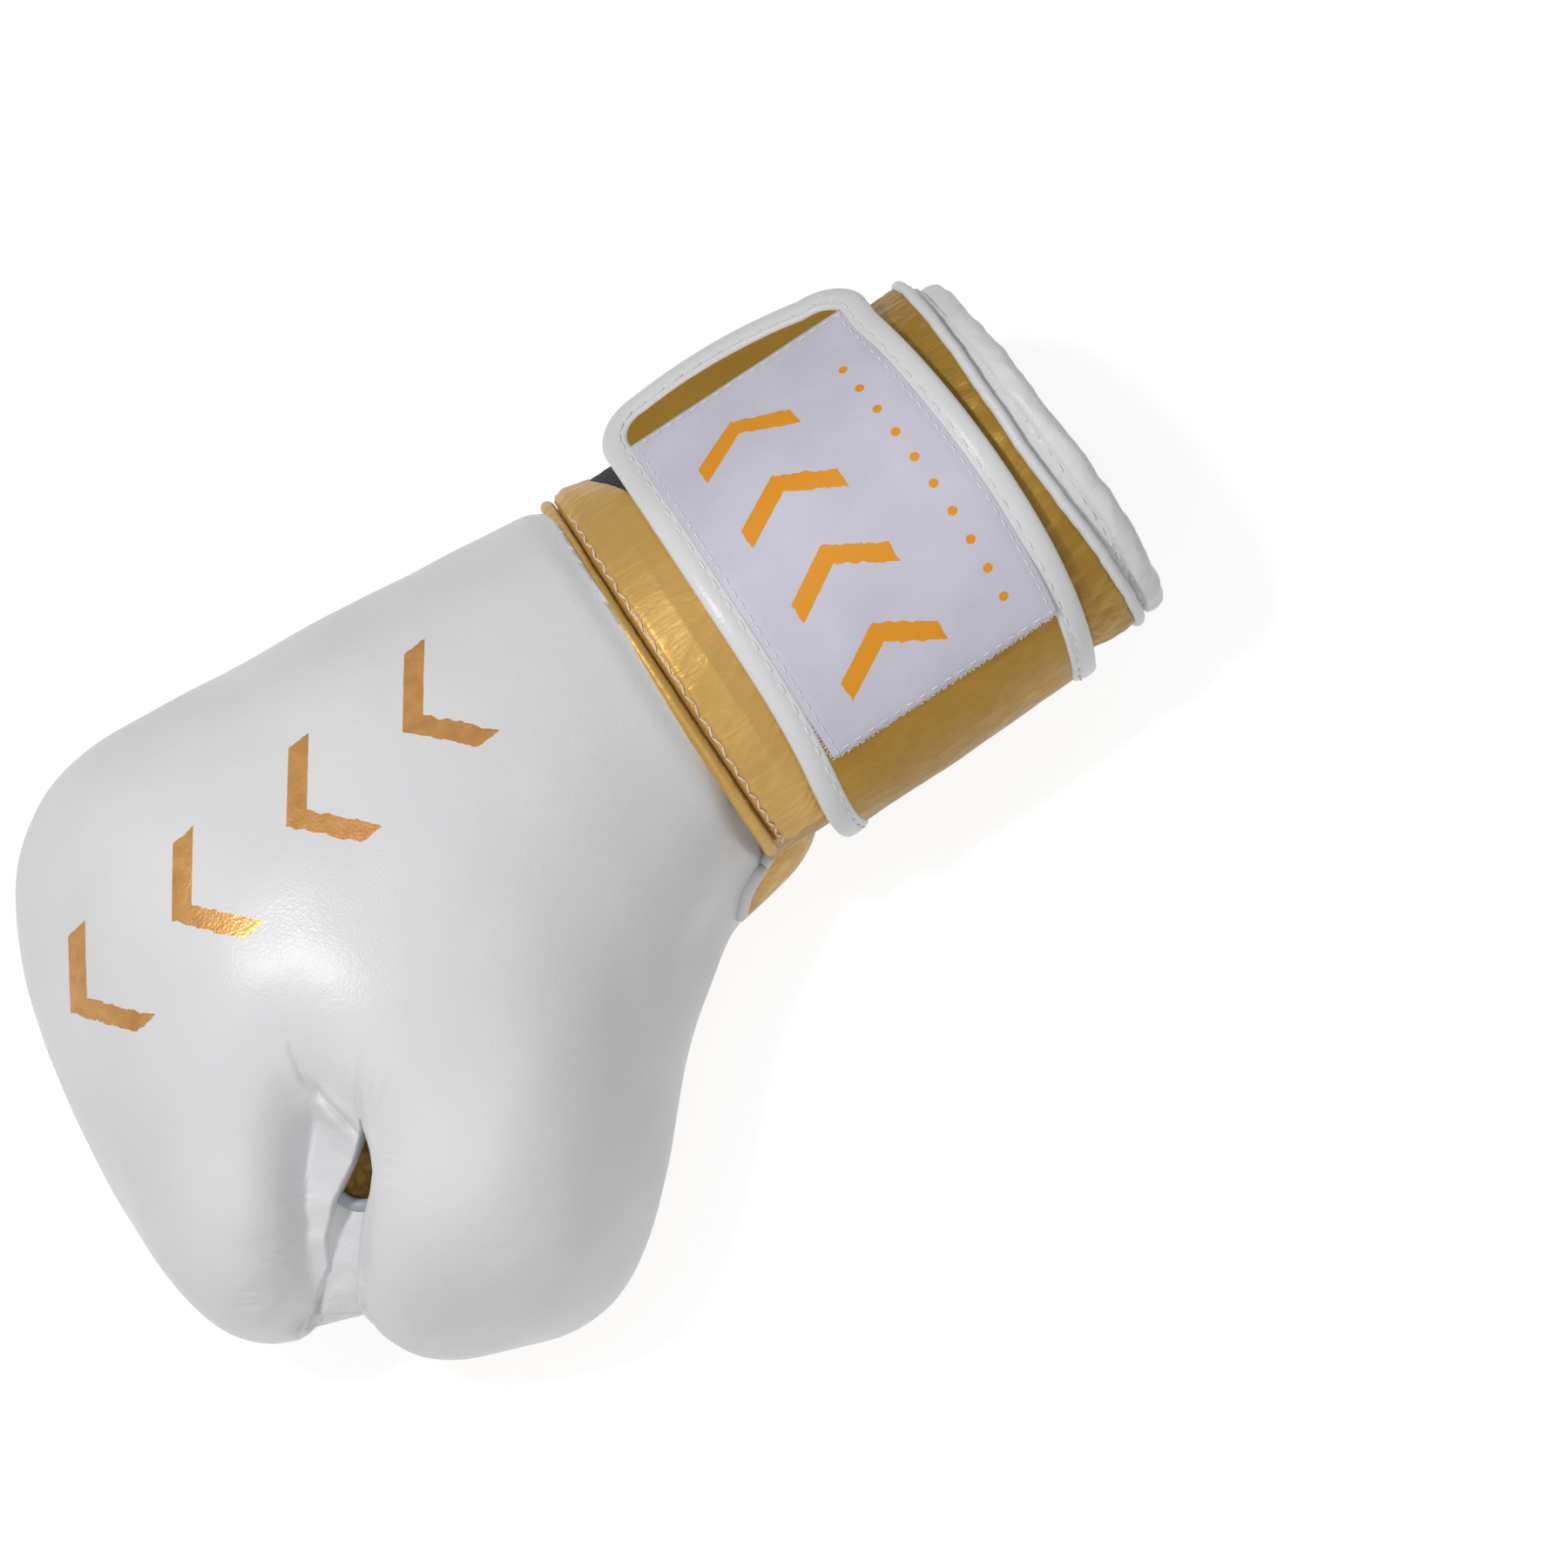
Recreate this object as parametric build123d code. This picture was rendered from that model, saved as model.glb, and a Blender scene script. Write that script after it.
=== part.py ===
# Boxing glove for the right hand, hook-and-loop cuff, 10 oz class.
# Frame: origin at the centre of the wrist opening, +X towards the fist, +Y towards the thumb,
# +Z out of the back of the hand. The glove lies palm down on rest_z. Millimetres throughout.
import os
from math import cos, pi, radians, sin

from build123d import *

os.makedirs("parts", exist_ok=True)

# Cuff: an oval tube round the wrist
cuff_half_width = 50.5  # outside, along Y
cuff_half_height = 42.5  # outside, along Z
cuff_length = 112.0  # wrist opening to the hand body
cuff_leather = 1.5
cuff_foam_thick = 7.5
cuff_lining_thick = 1.0
roll_length = 10.0  # padded roll round the opening
roll_proud = 1.0  # how far the roll stands out of the cuff
roll_round = 4.0
edge_binding_at = 14.0
edge_binding_width = 2.6
edge_binding_proud = 1.4
slit_width = 16.0  # palm-side slit that lets the hand in
slit_length = 92.0
gusset_thick = 1.2

# Band that covers the joint between cuff and hand body
band_width = 16.0
band_thick = 1.6
band_span = 98.0  # degrees each side of the back of the hand
lip_width = 3.0
lip_proud = 3.2

# Closing strap, wrapped round the cuff
strap_start = 21.0
strap_width = 71.0
strap_leather = 2.2
hook_thick = 1.0
loop_thick = 0.9
running_gap = 0.3  # between pieces that move against each other
binding_width = 6.0
binding_wall = 0.9
strap_corner = 13.0
tip_leave_angle = 118.0  # where the flap leaves the cuff and runs on straight
tip_run = 31.0
seam_y = -9.0  # where the free strap leaves its sewn anchor, under the palm
anchor_length = 25.0
anchor_box_inset = 5.0
anchor_stitch_angles = (236.0, 255.0)
patch_thick = 0.7
patch_run = 16.0  # of the patch, past where the flap leaves the cuff
patch_thumb_angle = 27.0
loop_little_angle = 178.0
loop_thumb_angle = 42.0
hook_thumb_angle = 60.0
loop_margin = 2.5

# Hand body
shell_leather = 1.6
body_length = 172.0
fist_half_width = 57.0
palm_drop = 49.0
back_rise = 66.0
hand_depth = 127.0  # hand compartment, beyond the cuff
hand_half_width = 42.0
hand_half_height = 33.0
lining_thick = 1.0
pad_layers = ("pad_outer_layer", "pad_middle_layer", "pad_inner_layer")
knuckle_pad_start = 88.0  # beyond the cuff; from here the inner layer is a firmer pad
palm_seam_z = -24.0
palm_seam_front = 0.86  # share of the body's length
thumb_seam_drop = 12.0
grip_bar_radius = 8.0
grip_bar_at = 84.0  # beyond the cuff
grip_bar_z = -17.0

# Thumb
thumb_set_back = 8.0  # its root, beyond the cuff
thumb_length = 130.0
thumb_reach = 114.0
thumb_drop = 48.0
thumb_rise = 20.0
thumb_pocket_set_back = 10.0
thumb_pocket_length = 112.0
slot_apex = (110.0, 47.0)  # beyond the cuff, and towards the thumb
slot_mouth = (139.0, 82.0)
thumb_tie_thick = 2.2
thumb_tie_height = 26.0
thumb_tie_length = 29.0
thumb_tie_share = 0.72  # how far along the slot it lies

# Thread and piping
piping_proud = 1.3
piping_width = 2.6
piping_length = 40.0
stitch_length = 2.6
stitch_width = 0.9
stitch_pitch = 4.2
stitch_inset = 1.3  # from an edge or a seam to its row
stitch_rows_gap = 1.6
stitch_start_angle = 4.0  # clear of the flap's hinge line
root_stitch_end = 85.0  # degrees round from the thumb's side
overrun = 1.0  # cutters run this far past what they cut

# Shape of each section: share of the half width and height
section_power = 2.4
section_points = 20
lead_in = 6.0  # how far every form runs back past its first section

band_start = cuff_length - band_width
thumb_start = cuff_length + thumb_set_back
thumb_pocket_start = cuff_length + thumb_pocket_set_back
grip_bar_x = cuff_length + grip_bar_at
knuckle_pad_x = cuff_length + knuckle_pad_start
strap_end = strap_start + strap_width
strap_in = loop_thick + running_gap
leather_in = strap_in + hook_thick
leather_out = leather_in + strap_leather
strap_out = leather_out + binding_wall
rest_z = -(cuff_half_height + strap_out)
big = 4 * body_length  # longer than the glove every way, for half spaces
far = 8.0  # how many times the cuff's own size a wedge reaches out
wedge_steps = 6


# ---------- ovals round the cuff ----------
def oval(offset, x0, x1):
    """A solid oval rod on the cuff's axis, offset outwards from the cuff's surface."""
    shape = Plane.YZ.offset(x0) * Ellipse(cuff_half_width + offset, cuff_half_height + offset)
    return extrude(shape, amount=x1 - x0)


def ring(inner, outer, x0, x1):
    return oval(outer, x0, x1) - oval(inner, x0 - overrun, x1 + overrun)


def wedge(from_angle, to_angle):
    """Everything between two angles round the cuff's oval, counted from the thumb's side."""
    points = [(0, 0)]
    for k in range(wedge_steps + 1):
        share = k / wedge_steps
        y, z = surface_point(0, radians(from_angle + (to_angle - from_angle) * share))
        points.append((far * y, far * z))
    outline = make_face(Polyline(*points, close=True))
    return extrude(Plane.YZ.offset(-big) * outline, amount=2 * big)


def block(x0, x1, y0, y1, z0, z1):
    box = Box(x1 - x0, y1 - y0, z1 - z0)
    return Pos((x0 + x1) / 2, (y0 + y1) / 2, (z0 + z1) / 2) * box


def surface_point(offset, t):
    return (cuff_half_width + offset) * cos(t), (cuff_half_height + offset) * sin(t)


def stitch_ring(x, offset, from_angle, to_angle):
    """A row of stitches round the cuff, lying on the surface at that offset."""
    mean = (cuff_half_width + cuff_half_height) / 2 + offset
    count = int(abs(radians(to_angle - from_angle)) * mean / stitch_pitch)
    out = []
    for k in range(count):
        t = radians(from_angle + (to_angle - from_angle) * (k + 0.5) / count)
        y, z = surface_point(offset, t)
        lean = (cuff_half_width + offset) * sin(t), (cuff_half_height + offset) * cos(t)
        normal = Vector(0, lean[1], lean[0]).normalized()
        thread = Plane(origin=(x, y, z), x_dir=(1, 0, 0), z_dir=normal)
        place = thread * Pos(0, 0, stitch_width / 2)
        out.append(place * Box(stitch_width, stitch_length, stitch_width))
    return out


# ---------- forms lofted along X ----------
def section(x, y0, y1, z0, z1):
    yc, zc, a, b = (y0 + y1) / 2, (z0 + z1) / 2, (y1 - y0) / 2, (z1 - z0) / 2
    points = []
    for k in range(section_points):
        t = 2 * pi * k / section_points
        c, s = cos(t), sin(t)
        y = a * abs(c) ** (2 / section_power) * (1 if c >= 0 else -1)
        z = b * abs(s) ** (2 / section_power) * (1 if s >= 0 else -1)
        points.append(Vector(x, yc + y, zc + z))
    return Wire([Edge.make_spline(points, periodic=True)])


def form(stations):
    """A closed soft form, run back past its first section so that it can be cut square."""
    first = stations[0]
    lead = (first[0] - lead_in,) + first[1:]
    return Part() + Solid.make_loft([section(*s) for s in [lead] + stations])


def inset(stations, wall):
    start, length = stations[0][0], stations[-1][0] - stations[0][0]
    rows = []
    for x, y0, y1, z0, z1 in stations:
        x = start + (x - start) * (length - wall) / length
        rows.append((x, y0 + wall, y1 - wall, z0 + wall, z1 - wall))
    return rows


def between(outer, inner, share):
    return [tuple(a + (b - a) * share for a, b in zip(o, i)) for o, i in zip(outer, inner)]


def fist_stations():
    """Share of length, then little finger, thumb, palm and back as shares of the fist."""
    rows = [
        (0.00, -0.88, 0.81, -0.83, 0.73),
        (0.22, -0.88, 0.81, -0.83, 0.88),
        (0.45, -0.88, 0.84, -0.93, 0.98),
        (0.60, -0.93, 0.86, -1.00, 1.00),
        (0.715, -1.00, 0.93, -1.00, 0.95),
        (0.80, -1.00, 1.18, -1.00, 0.85),
        (0.88, -0.83, 1.38, -0.96, 0.69),
        (0.93, -0.58, 1.40, -0.86, 0.53),
        (0.97, -0.12, 1.33, -0.66, 0.33),
        (1.00, 0.35, 1.00, -0.38, 0.06),
    ]
    w = fist_half_width
    return [
        (cuff_length + body_length * s, w * a, w * b, palm_drop * c, back_rise * d)
        for s, a, b, c, d in rows
    ]


def hand_stations():
    rows = [
        (0.00, -0.93, 0.90, -0.94, 0.96),
        (0.27, -0.94, 0.88, -0.92, 0.96),
        (0.53, -0.97, 0.86, -0.94, 1.00),
        (0.69, -1.00, 0.84, -1.04, 1.00),
        (0.80, -1.00, 0.84, -1.08, 0.94),
        (0.87, -0.94, 0.84, -1.04, 0.82),
        (0.92, -0.79, 0.80, -0.94, 0.64),
        (0.96, -0.57, 0.74, -0.80, 0.42),
        (0.985, -0.28, 0.60, -0.60, 0.18),
        (1.00, 0.00, 0.38, -0.40, -0.10),
    ]
    w, h = hand_half_width, hand_half_height
    return [
        (cuff_length + hand_depth * s, w * a, w * b, h * c, h * d) for s, a, b, c, d in rows
    ]


def thumb_stations():
    """Share of length, then inner and outer side, bottom and top as shares of the thumb."""
    rows = [
        (0.00, 0.05, 0.40, -0.70, 0.80),
        (0.154, 0.12, 0.56, -0.84, 1.00),
        (0.27, 0.17, 0.69, -0.92, 1.05),
        (0.41, 0.24, 0.87, -0.98, 1.00),
        (0.515, 0.28, 0.96, -1.00, 0.92),
        (0.70, 0.30, 1.00, -1.00, 0.68),
        (0.83, 0.46, 0.97, -0.97, 0.30),
        (0.915, 0.58, 0.90, -0.87, -0.10),
        (1.00, 0.68, 0.79, -0.62, -0.80),
    ]
    r = thumb_reach
    return [
        (thumb_start + thumb_length * s, r * a, r * b, thumb_drop * c, thumb_rise * d)
        for s, a, b, c, d in rows
    ]


def thumb_pocket_stations():
    rows = [
        (0.00, 0.12, 0.28, -0.40, 0.10),
        (0.16, 0.14, 0.42, -0.50, 0.05),
        (0.28, 0.18, 0.53, -0.60, 0.00),
        (0.42, 0.24, 0.66, -0.66, -0.05),
        (0.54, 0.31, 0.75, -0.70, -0.10),
        (0.72, 0.47, 0.82, -0.72, -0.25),
        (0.86, 0.57, 0.81, -0.68, -0.40),
        (0.94, 0.62, 0.79, -0.62, -0.60),
        (1.00, 0.67, 0.74, -0.54, -0.85),
    ]
    start, r = thumb_pocket_start, thumb_reach
    return [
        (start + thumb_pocket_length * s, r * a, r * b, thumb_drop * c, thumb_rise * d)
        for s, a, b, c, d in rows
    ]


# ---------- cuff ----------
def palm_slit():
    half = slit_width / 2
    return block(-overrun, slit_length, -half, half, -big, 0)


def cuff_layers():
    """Leather, foam and lining, open along the palm-side slit, with an elastic gusset in it."""
    slit = palm_slit()
    walls = (cuff_leather, cuff_foam_thick, cuff_lining_thick)
    out, depth = {}, 0.0
    for name, wall in zip(("cuff_outer", "cuff_foam", "cuff_lining"), walls):
        layer = ring(-depth - wall, -depth, roll_length, cuff_length)
        out[name] = layer - slit
        depth += wall
    gusset = ring(-depth, -depth + gusset_thick, roll_length, slit_length)
    out["cuff_gusset"] = gusset & slit
    return out


def cuff_trim():
    depth = cuff_leather + cuff_foam_thick + cuff_lining_thick
    roll = ring(-depth, roll_proud, 0, roll_length)
    roll = fillet(roll.edges().filter_by(GeomType.ELLIPSE), roll_round)
    binding_end = edge_binding_at + edge_binding_width
    thin = ring(0, edge_binding_proud, edge_binding_at, binding_end)
    return {"cuff_edge_roll": roll, "cuff_outer_binding": thin - palm_slit()}


def wrist_band():
    """A leather band over the back half of the cuff, its front edge folded into a lip."""
    back = wedge(90 - band_span, 90 + band_span)
    lip_start = cuff_length - lip_width
    band = ring(0, band_thick, band_start, lip_start) & back
    lip = ring(0, lip_proud, lip_start, cuff_length) & back
    rows = []
    for k in (1, 2):
        x = lip_start - k * stitch_rows_gap
        rows += stitch_ring(x, band_thick, 90 - band_span, 90 + band_span)
    return {
        "wrist_band": band,
        "wrist_band_lip": lip,
        "wrist_band_stitching": Compound(children=rows),
    }


# ---------- strap ----------
def tip_plane():
    """Tangent to the cuff where the flap leaves it: X along the glove, -Y out to the tip."""
    y, z = surface_point(0, radians(tip_leave_angle))
    normal = Vector(0, y / cuff_half_width**2, z / cuff_half_height**2).normalized()
    return Plane(origin=(0, y, z), x_dir=(1, 0, 0), z_dir=normal)


def flap_layer(low, high, margin=0.0, from_angle=0.0, run=tip_run, corner=strap_corner):
    """A layer of the flap, between two heights over the cuff and a margin inside its edge."""
    x0, x1 = strap_start + margin, strap_end - margin
    around = ring(low, high, x0, x1) & wedge(from_angle, tip_leave_angle)
    around &= block(x0, x1, -big, big, running_gap / 2, big)
    length = run - margin + overrun
    outline = Pos((x0 + x1) / 2, overrun - length / 2) * Rectangle(x1 - x0, length)
    if corner > margin:
        outline = fillet(outline.vertices().sort_by(Axis.Y)[:2], corner - margin)
    return around + extrude(tip_plane().offset(low) * outline, amount=high - low)


def flap_thread(x, height, from_angle, run):
    """A row of stitches along the flap, round the cuff and on along its straight end."""
    rows = stitch_ring(x, height, from_angle, tip_leave_angle)
    place = tip_plane().offset(height + stitch_width / 2)
    for k in range(int(run / stitch_pitch)):
        thread = Box(stitch_width, stitch_length, stitch_width)
        rows.append(place * Pos(x, -(k + 0.5) * stitch_pitch, 0) * thread)
    return rows


def root_window():
    """The stretch between the palm seam and the thumb's side."""
    half_gap = running_gap / 2
    return block(strap_start, strap_end, seam_y + half_gap, big, -big, -half_gap)


def strap_flap():
    """The free end: leather in a folded binding, hook tape inside and a satin patch outside."""
    wall = binding_wall
    leather = flap_layer(leather_in, leather_out, wall)
    binding = flap_layer(leather_in - wall, strap_out)
    binding -= flap_layer(leather_in - wall - overrun, strap_out + overrun, binding_width)
    patch_out = leather_out + patch_thick
    x0, x1 = strap_start + binding_width, strap_end - binding_width
    thread = []
    for x in (x0 + stitch_inset, x1 - stitch_inset):
        thread += flap_thread(x, patch_out, patch_thumb_angle, patch_run)
    for x in (x0 - stitch_inset, x1 + stitch_inset):
        thread += flap_thread(x, strap_out, stitch_start_angle, tip_run - strap_corner)
    return {
        "strap_flap_leather": leather,
        "strap_flap_binding": binding - leather,
        "hook_panel": flap_layer(strap_in, leather_in, binding_width, hook_thumb_angle),
        "strap_patch": flap_layer(
            leather_out, patch_out, binding_width, patch_thumb_angle,
            patch_run + binding_width, corner=0,
        ),
        "strap_flap_stitching": Compound(children=thread),
    }


def strap_root():
    """The stretch from the palm seam round to the thumb's side."""
    window, wall = root_window(), binding_wall
    x0, x1 = strap_start + binding_width, strap_end - binding_width
    leather = ring(leather_in, leather_out, strap_start + wall, strap_end - wall) & window
    binding = ring(leather_in - wall, strap_out, strap_start, strap_end) & window
    binding -= block(x0, x1, -big, big, -big, big)
    thread = []
    for x in (x0 - stitch_inset, x1 + stitch_inset):
        thread += stitch_ring(x, strap_out, -root_stitch_end, -stitch_start_angle)
    return {
        "strap_root_leather": leather,
        "strap_root_binding": binding - leather,
        "strap_root_backing": ring(running_gap, leather_in, x0, x1) & window,
        "strap_root_stitching": Compound(children=thread),
    }


def strap_anchor():
    """The end of the strap that is sewn flat to the cuff, little finger's side of the slit."""
    end = seam_y - running_gap / 2
    window = block(strap_start, strap_end, end - anchor_length, end, -big, 0)
    rows = []
    for x in (strap_start + anchor_box_inset, strap_end - anchor_box_inset):
        rows += stitch_ring(x, strap_out, *anchor_stitch_angles)
    loop = ring(0, loop_thick, strap_start + loop_margin, strap_end + loop_margin)
    return {
        "strap_anchor": ring(0, strap_out, strap_start, strap_end) & window,
        "strap_anchor_stitching": Compound(children=rows),
        "loop_panel": loop & wedge(loop_thumb_angle, loop_little_angle),
    }


# ---------- hand body ----------
def hand_body():
    ahead = block(cuff_length, big, -big, big, rest_z, big)
    fist_rows, hand_rows = fist_stations(), hand_stations()
    thumb_rows, pocket_rows = thumb_stations(), thumb_pocket_stations()
    fist_core_rows = inset(fist_rows, shell_leather)
    fist, fist_core = form(fist_rows), form(fist_core_rows)
    thumb, thumb_core = form(thumb_rows), form(inset(thumb_rows, shell_leather))
    hand, hand_inside = form(hand_rows), form(inset(hand_rows, lining_thick))
    pocket, pocket_inside = form(pocket_rows), form(inset(pocket_rows, lining_thick))
    floor_core = block(cuff_length, big, -big, big, rest_z + shell_leather, big)

    outside = (fist + thumb) & ahead
    core = (fist_core + thumb_core) & floor_core
    shell = outside - core
    seam = palm_region()
    out = {"back_panel": shell - seam, "palm_panel": shell & seam}

    fist_core_cut, thumb_core_cut = fist_core & floor_core, thumb_core & floor_core
    ringed = fist_core_cut - hand - pocket
    out["palm_foam"] = ringed & seam
    levels = [fist_core]
    for k in (1, 2):
        levels.append(form(between(fist_core_rows, hand_rows, k / 3)))
    levels.append(hand)
    for name, outer, inner in zip(pad_layers, levels, levels[1:]):
        out[name] = ((outer & floor_core) - inner - pocket) - seam
    knuckles = block(knuckle_pad_x, big, -big, big, -big, big)
    innermost = pad_layers[-1]
    out["knuckle_pad"] = out[innermost] & knuckles
    out[innermost] -= knuckles
    out["thumb_foam"] = thumb_core_cut - fist_core - pocket
    out["hand_lining"] = (hand & ahead) - hand_inside - pocket_inside
    out["thumb_lining"] = (pocket & ahead) - pocket_inside - hand
    bar = Rot(90, 0, 0) * Cylinder(grip_bar_radius, big)
    out["grip_bar"] = Pos(grip_bar_x, 0, grip_bar_z) * bar & hand_inside
    out["thumb_tie"] = thumb_tie() - fist - thumb
    out["side_piping"] = side_piping(fist_rows, fist, thumb, ahead)
    return out


def palm_region():
    """The space under the seam between the back panel and the palm panel."""
    low = palm_seam_z - thumb_seam_drop
    outline = Polyline(
        (-big, palm_seam_z), (hand_half_width, palm_seam_z), (thumb_reach, low),
        (big, low), (big, -big), (-big, -big), close=True,
    )
    face = Plane.YZ.offset(-big) * make_face(outline)
    return extrude(face, amount=big + cuff_length + body_length * palm_seam_front)


def thumb_tie():
    """Leather tie that bridges the slot near its mouth and keeps the thumb by the fist."""
    (x0, y0), (x1, y1) = slot_apex, slot_mouth
    along = Vector(x1 - x0, y1 - y0, 0)
    x, y = cuff_length + x0 + along.X * thumb_tie_share, y0 + along.Y * thumb_tie_share
    centre = (x, y, palm_seam_z)
    place = Plane(origin=centre, x_dir=along.normalized(), z_dir=(0, 0, 1))
    return place * Box(thumb_tie_thick, thumb_tie_length, thumb_tie_height)


def side_piping(fist_rows, fist, thumb, ahead):
    proud = form(inset(fist_rows, -piping_proud))
    half = piping_width / 2
    end = cuff_length + piping_length
    strip = block(cuff_length, end, -big, big, palm_seam_z - half, palm_seam_z + half)
    return (proud & strip) - fist - thumb


def save(nodes):
    for name, shape in nodes.items():
        export_step(shape, f"parts/{name}.step")
        print(name, len(shape.solids()), round(shape.volume))


def main():
    for make in (cuff_layers, cuff_trim, wrist_band, strap_anchor, strap_root, strap_flap, hand_body):
        save(make())


main()
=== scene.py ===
from math import atan2, cos, exp, pi, radians, sin, sqrt

import bmesh
import bpy
import numpy as np
from mathutils import Matrix, Vector, noise
from mathutils.bvhtree import BVHTree


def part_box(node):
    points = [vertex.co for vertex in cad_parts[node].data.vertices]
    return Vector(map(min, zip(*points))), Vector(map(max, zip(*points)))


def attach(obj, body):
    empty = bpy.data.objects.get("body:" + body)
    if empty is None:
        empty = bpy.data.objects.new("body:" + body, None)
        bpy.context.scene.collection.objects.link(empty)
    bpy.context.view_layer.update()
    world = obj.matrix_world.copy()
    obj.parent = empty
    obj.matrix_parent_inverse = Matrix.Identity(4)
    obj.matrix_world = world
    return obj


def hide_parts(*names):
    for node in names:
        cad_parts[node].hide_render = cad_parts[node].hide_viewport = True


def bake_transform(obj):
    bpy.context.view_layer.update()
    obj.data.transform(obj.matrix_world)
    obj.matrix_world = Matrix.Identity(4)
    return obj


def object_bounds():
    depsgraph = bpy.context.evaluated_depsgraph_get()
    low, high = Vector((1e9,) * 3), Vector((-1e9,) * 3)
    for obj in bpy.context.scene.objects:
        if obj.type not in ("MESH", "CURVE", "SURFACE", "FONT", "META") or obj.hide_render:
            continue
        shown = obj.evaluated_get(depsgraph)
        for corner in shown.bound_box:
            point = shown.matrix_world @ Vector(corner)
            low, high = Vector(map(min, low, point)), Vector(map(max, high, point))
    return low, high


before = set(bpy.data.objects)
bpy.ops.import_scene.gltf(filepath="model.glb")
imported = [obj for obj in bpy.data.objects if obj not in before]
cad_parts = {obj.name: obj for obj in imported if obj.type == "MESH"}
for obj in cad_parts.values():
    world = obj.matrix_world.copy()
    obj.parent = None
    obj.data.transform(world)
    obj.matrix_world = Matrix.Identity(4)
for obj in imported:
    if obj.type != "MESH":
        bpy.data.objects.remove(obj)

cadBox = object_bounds()
mm = 0.001  # shapes are worked out in millimetres and turned to metres when a piece is made
scene = bpy.context.scene


# Sizes taken from the frame
def nodeBox(name):
    low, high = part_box(name)
    return low / mm, high / mm


cuffHigh = nodeBox("cuff_outer")[1]
strapLow, strapHigh = nodeBox("strap_flap_binding")
bandRear = nodeBox("wrist_band")[0].x
rollFront = nodeBox("cuff_edge_roll")[1].x
floorHeight = cadBox[0].z / mm
cuff = {"halfWidth": cuffHigh.y, "halfHeight": cuffHigh.z, "end": cuffHigh.x}
backTilt = radians(22)  # the camera looks down on the back of the hand and leans this far to the thumb


def across(p):
    # place of a point over the hand as the camera sees it, thumb side positive
    return p.y * cos(backTilt) - p.z * sin(backTilt)


def seenPoint(x, side, height):
    # the point at that place across the hand and that far towards the camera
    c, s = cos(backTilt), sin(backTilt)
    return Vector((x, side * c + height * s, height * c - side * s))


def cuffPoint(x, angle, height=0.0):
    # on the cuff's oval; the angle is counted from the thumb's side over the back of the hand
    t = radians(angle)
    base = Vector((x, cuff["halfWidth"] * cos(t), cuff["halfHeight"] * sin(t)))
    normal = Vector((0, cos(t) / cuff["halfWidth"], sin(t) / cuff["halfHeight"])).normalized()
    return base + normal * height


strap = {
    "leaveAngle": 118.0,  # where the flap's end stops following the cuff's oval
    "tipRun": 31.0,
    "seamAngle": -100.3,
    "width": 71,
    "bottom": 2.2,  # leather's height over the cuff
    "top": 4.4,
    "corner": 13.0,
    "tipArch": 2.6,  # how far the tip's edge bows out
    "tipSlant": 3.8,
    "backBow": 4.2,
    "frontFlare": 3.0,  # the front edge swings out over the thumb's root
    "middle": 3.3,
}
strapAngles = np.radians(np.arange(strap["seamAngle"], strap["leaveAngle"] + 0.25, 0.5))
strapPath = np.stack([
    (cuff["halfWidth"] + strap["middle"]) * np.cos(strapAngles),
    (cuff["halfHeight"] + strap["middle"]) * np.sin(strapAngles),
])
strapRuns = np.concatenate([[0], np.cumsum(np.hypot(*np.diff(strapPath)))])
strapRuns = strapRuns - np.interp(0, strapAngles, strapRuns)
leaveRun = float(strapRuns[-1])
seamRun = float(strapRuns[0])
tipEnd = leaveRun + strap["tipRun"]


def strapPoint(x, run, height=0.0):
    # run is measured along the strap from the thumb's side, and past leaveRun it is straight
    angle = float(np.degrees(np.interp(run, strapRuns, strapAngles)))
    point = cuffPoint(x, angle, height)
    if run > leaveRun:
        t = radians(strap["leaveAngle"])
        ahead = Vector((0, -cuff["halfWidth"] * sin(t), cuff["halfHeight"] * cos(t))).normalized()
        point += ahead * (run - leaveRun)
    return point


def aboveCuff(angle):
    # the direction straight out of the cuff
    return (cuffPoint(0, angle, 1) - cuffPoint(0, angle)).normalized()


def runOf(angle):
    return float(np.interp(radians(angle), strapAngles, strapRuns))


def wave(point, scale, seed=0.0):
    return noise.noise(Vector(point) * scale + Vector((seed, seed * 1.7, -seed)))


def smoothStep(low, high, value):
    t = min(1.0, max(0.0, (value - low) / (high - low)))
    return t * t * (3 - 2 * t)


def bell(distance, width):
    # 1 in the middle, dying out to both sides
    return exp(-(distance / width) ** 2)


def squareOff(value, power):
    # a sine or cosine pulled towards its ends, which turns a round section into a fuller one
    return abs(value) ** power * (1 if value >= 0 else -1)


def shapedGrid(columns, rows, place, flat=None):
    # a grid whose points are put in place by a rule; its flat layout is kept as a UV map
    bm = bmesh.new()
    bmesh.ops.create_grid(bm, x_segments=columns, y_segments=rows, size=0.5)
    shares = {v: (v.co.x + 0.5, v.co.y + 0.5) for v in bm.verts}
    if flat:
        layout = bm.loops.layers.uv.new("flat")
        for face in bm.faces:
            for loop in face.loops:
                loop[layout].uv = Vector(flat(*shares[loop.vert])) * mm
    for v, share in shares.items():
        v.co = place(*share)
    bmesh.ops.remove_doubles(bm, verts=bm.verts, dist=0.002)
    return bm


def makePiece(bm, name, material, body="glove", nodes=(), slotName=None):
    bmesh.ops.scale(bm, vec=(mm, mm, mm), verts=bm.verts)
    mesh = bpy.data.meshes.new(name)
    bm.to_mesh(mesh)
    bm.free()
    mesh.polygons.foreach_set("use_smooth", [True] * len(mesh.polygons))
    mesh.materials.append(material)
    piece = bpy.data.objects.new(name, mesh)
    scene.collection.objects.link(piece)
    if body:
        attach(piece, body)
    if nodes:
        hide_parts(*nodes)
    return piece


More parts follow.
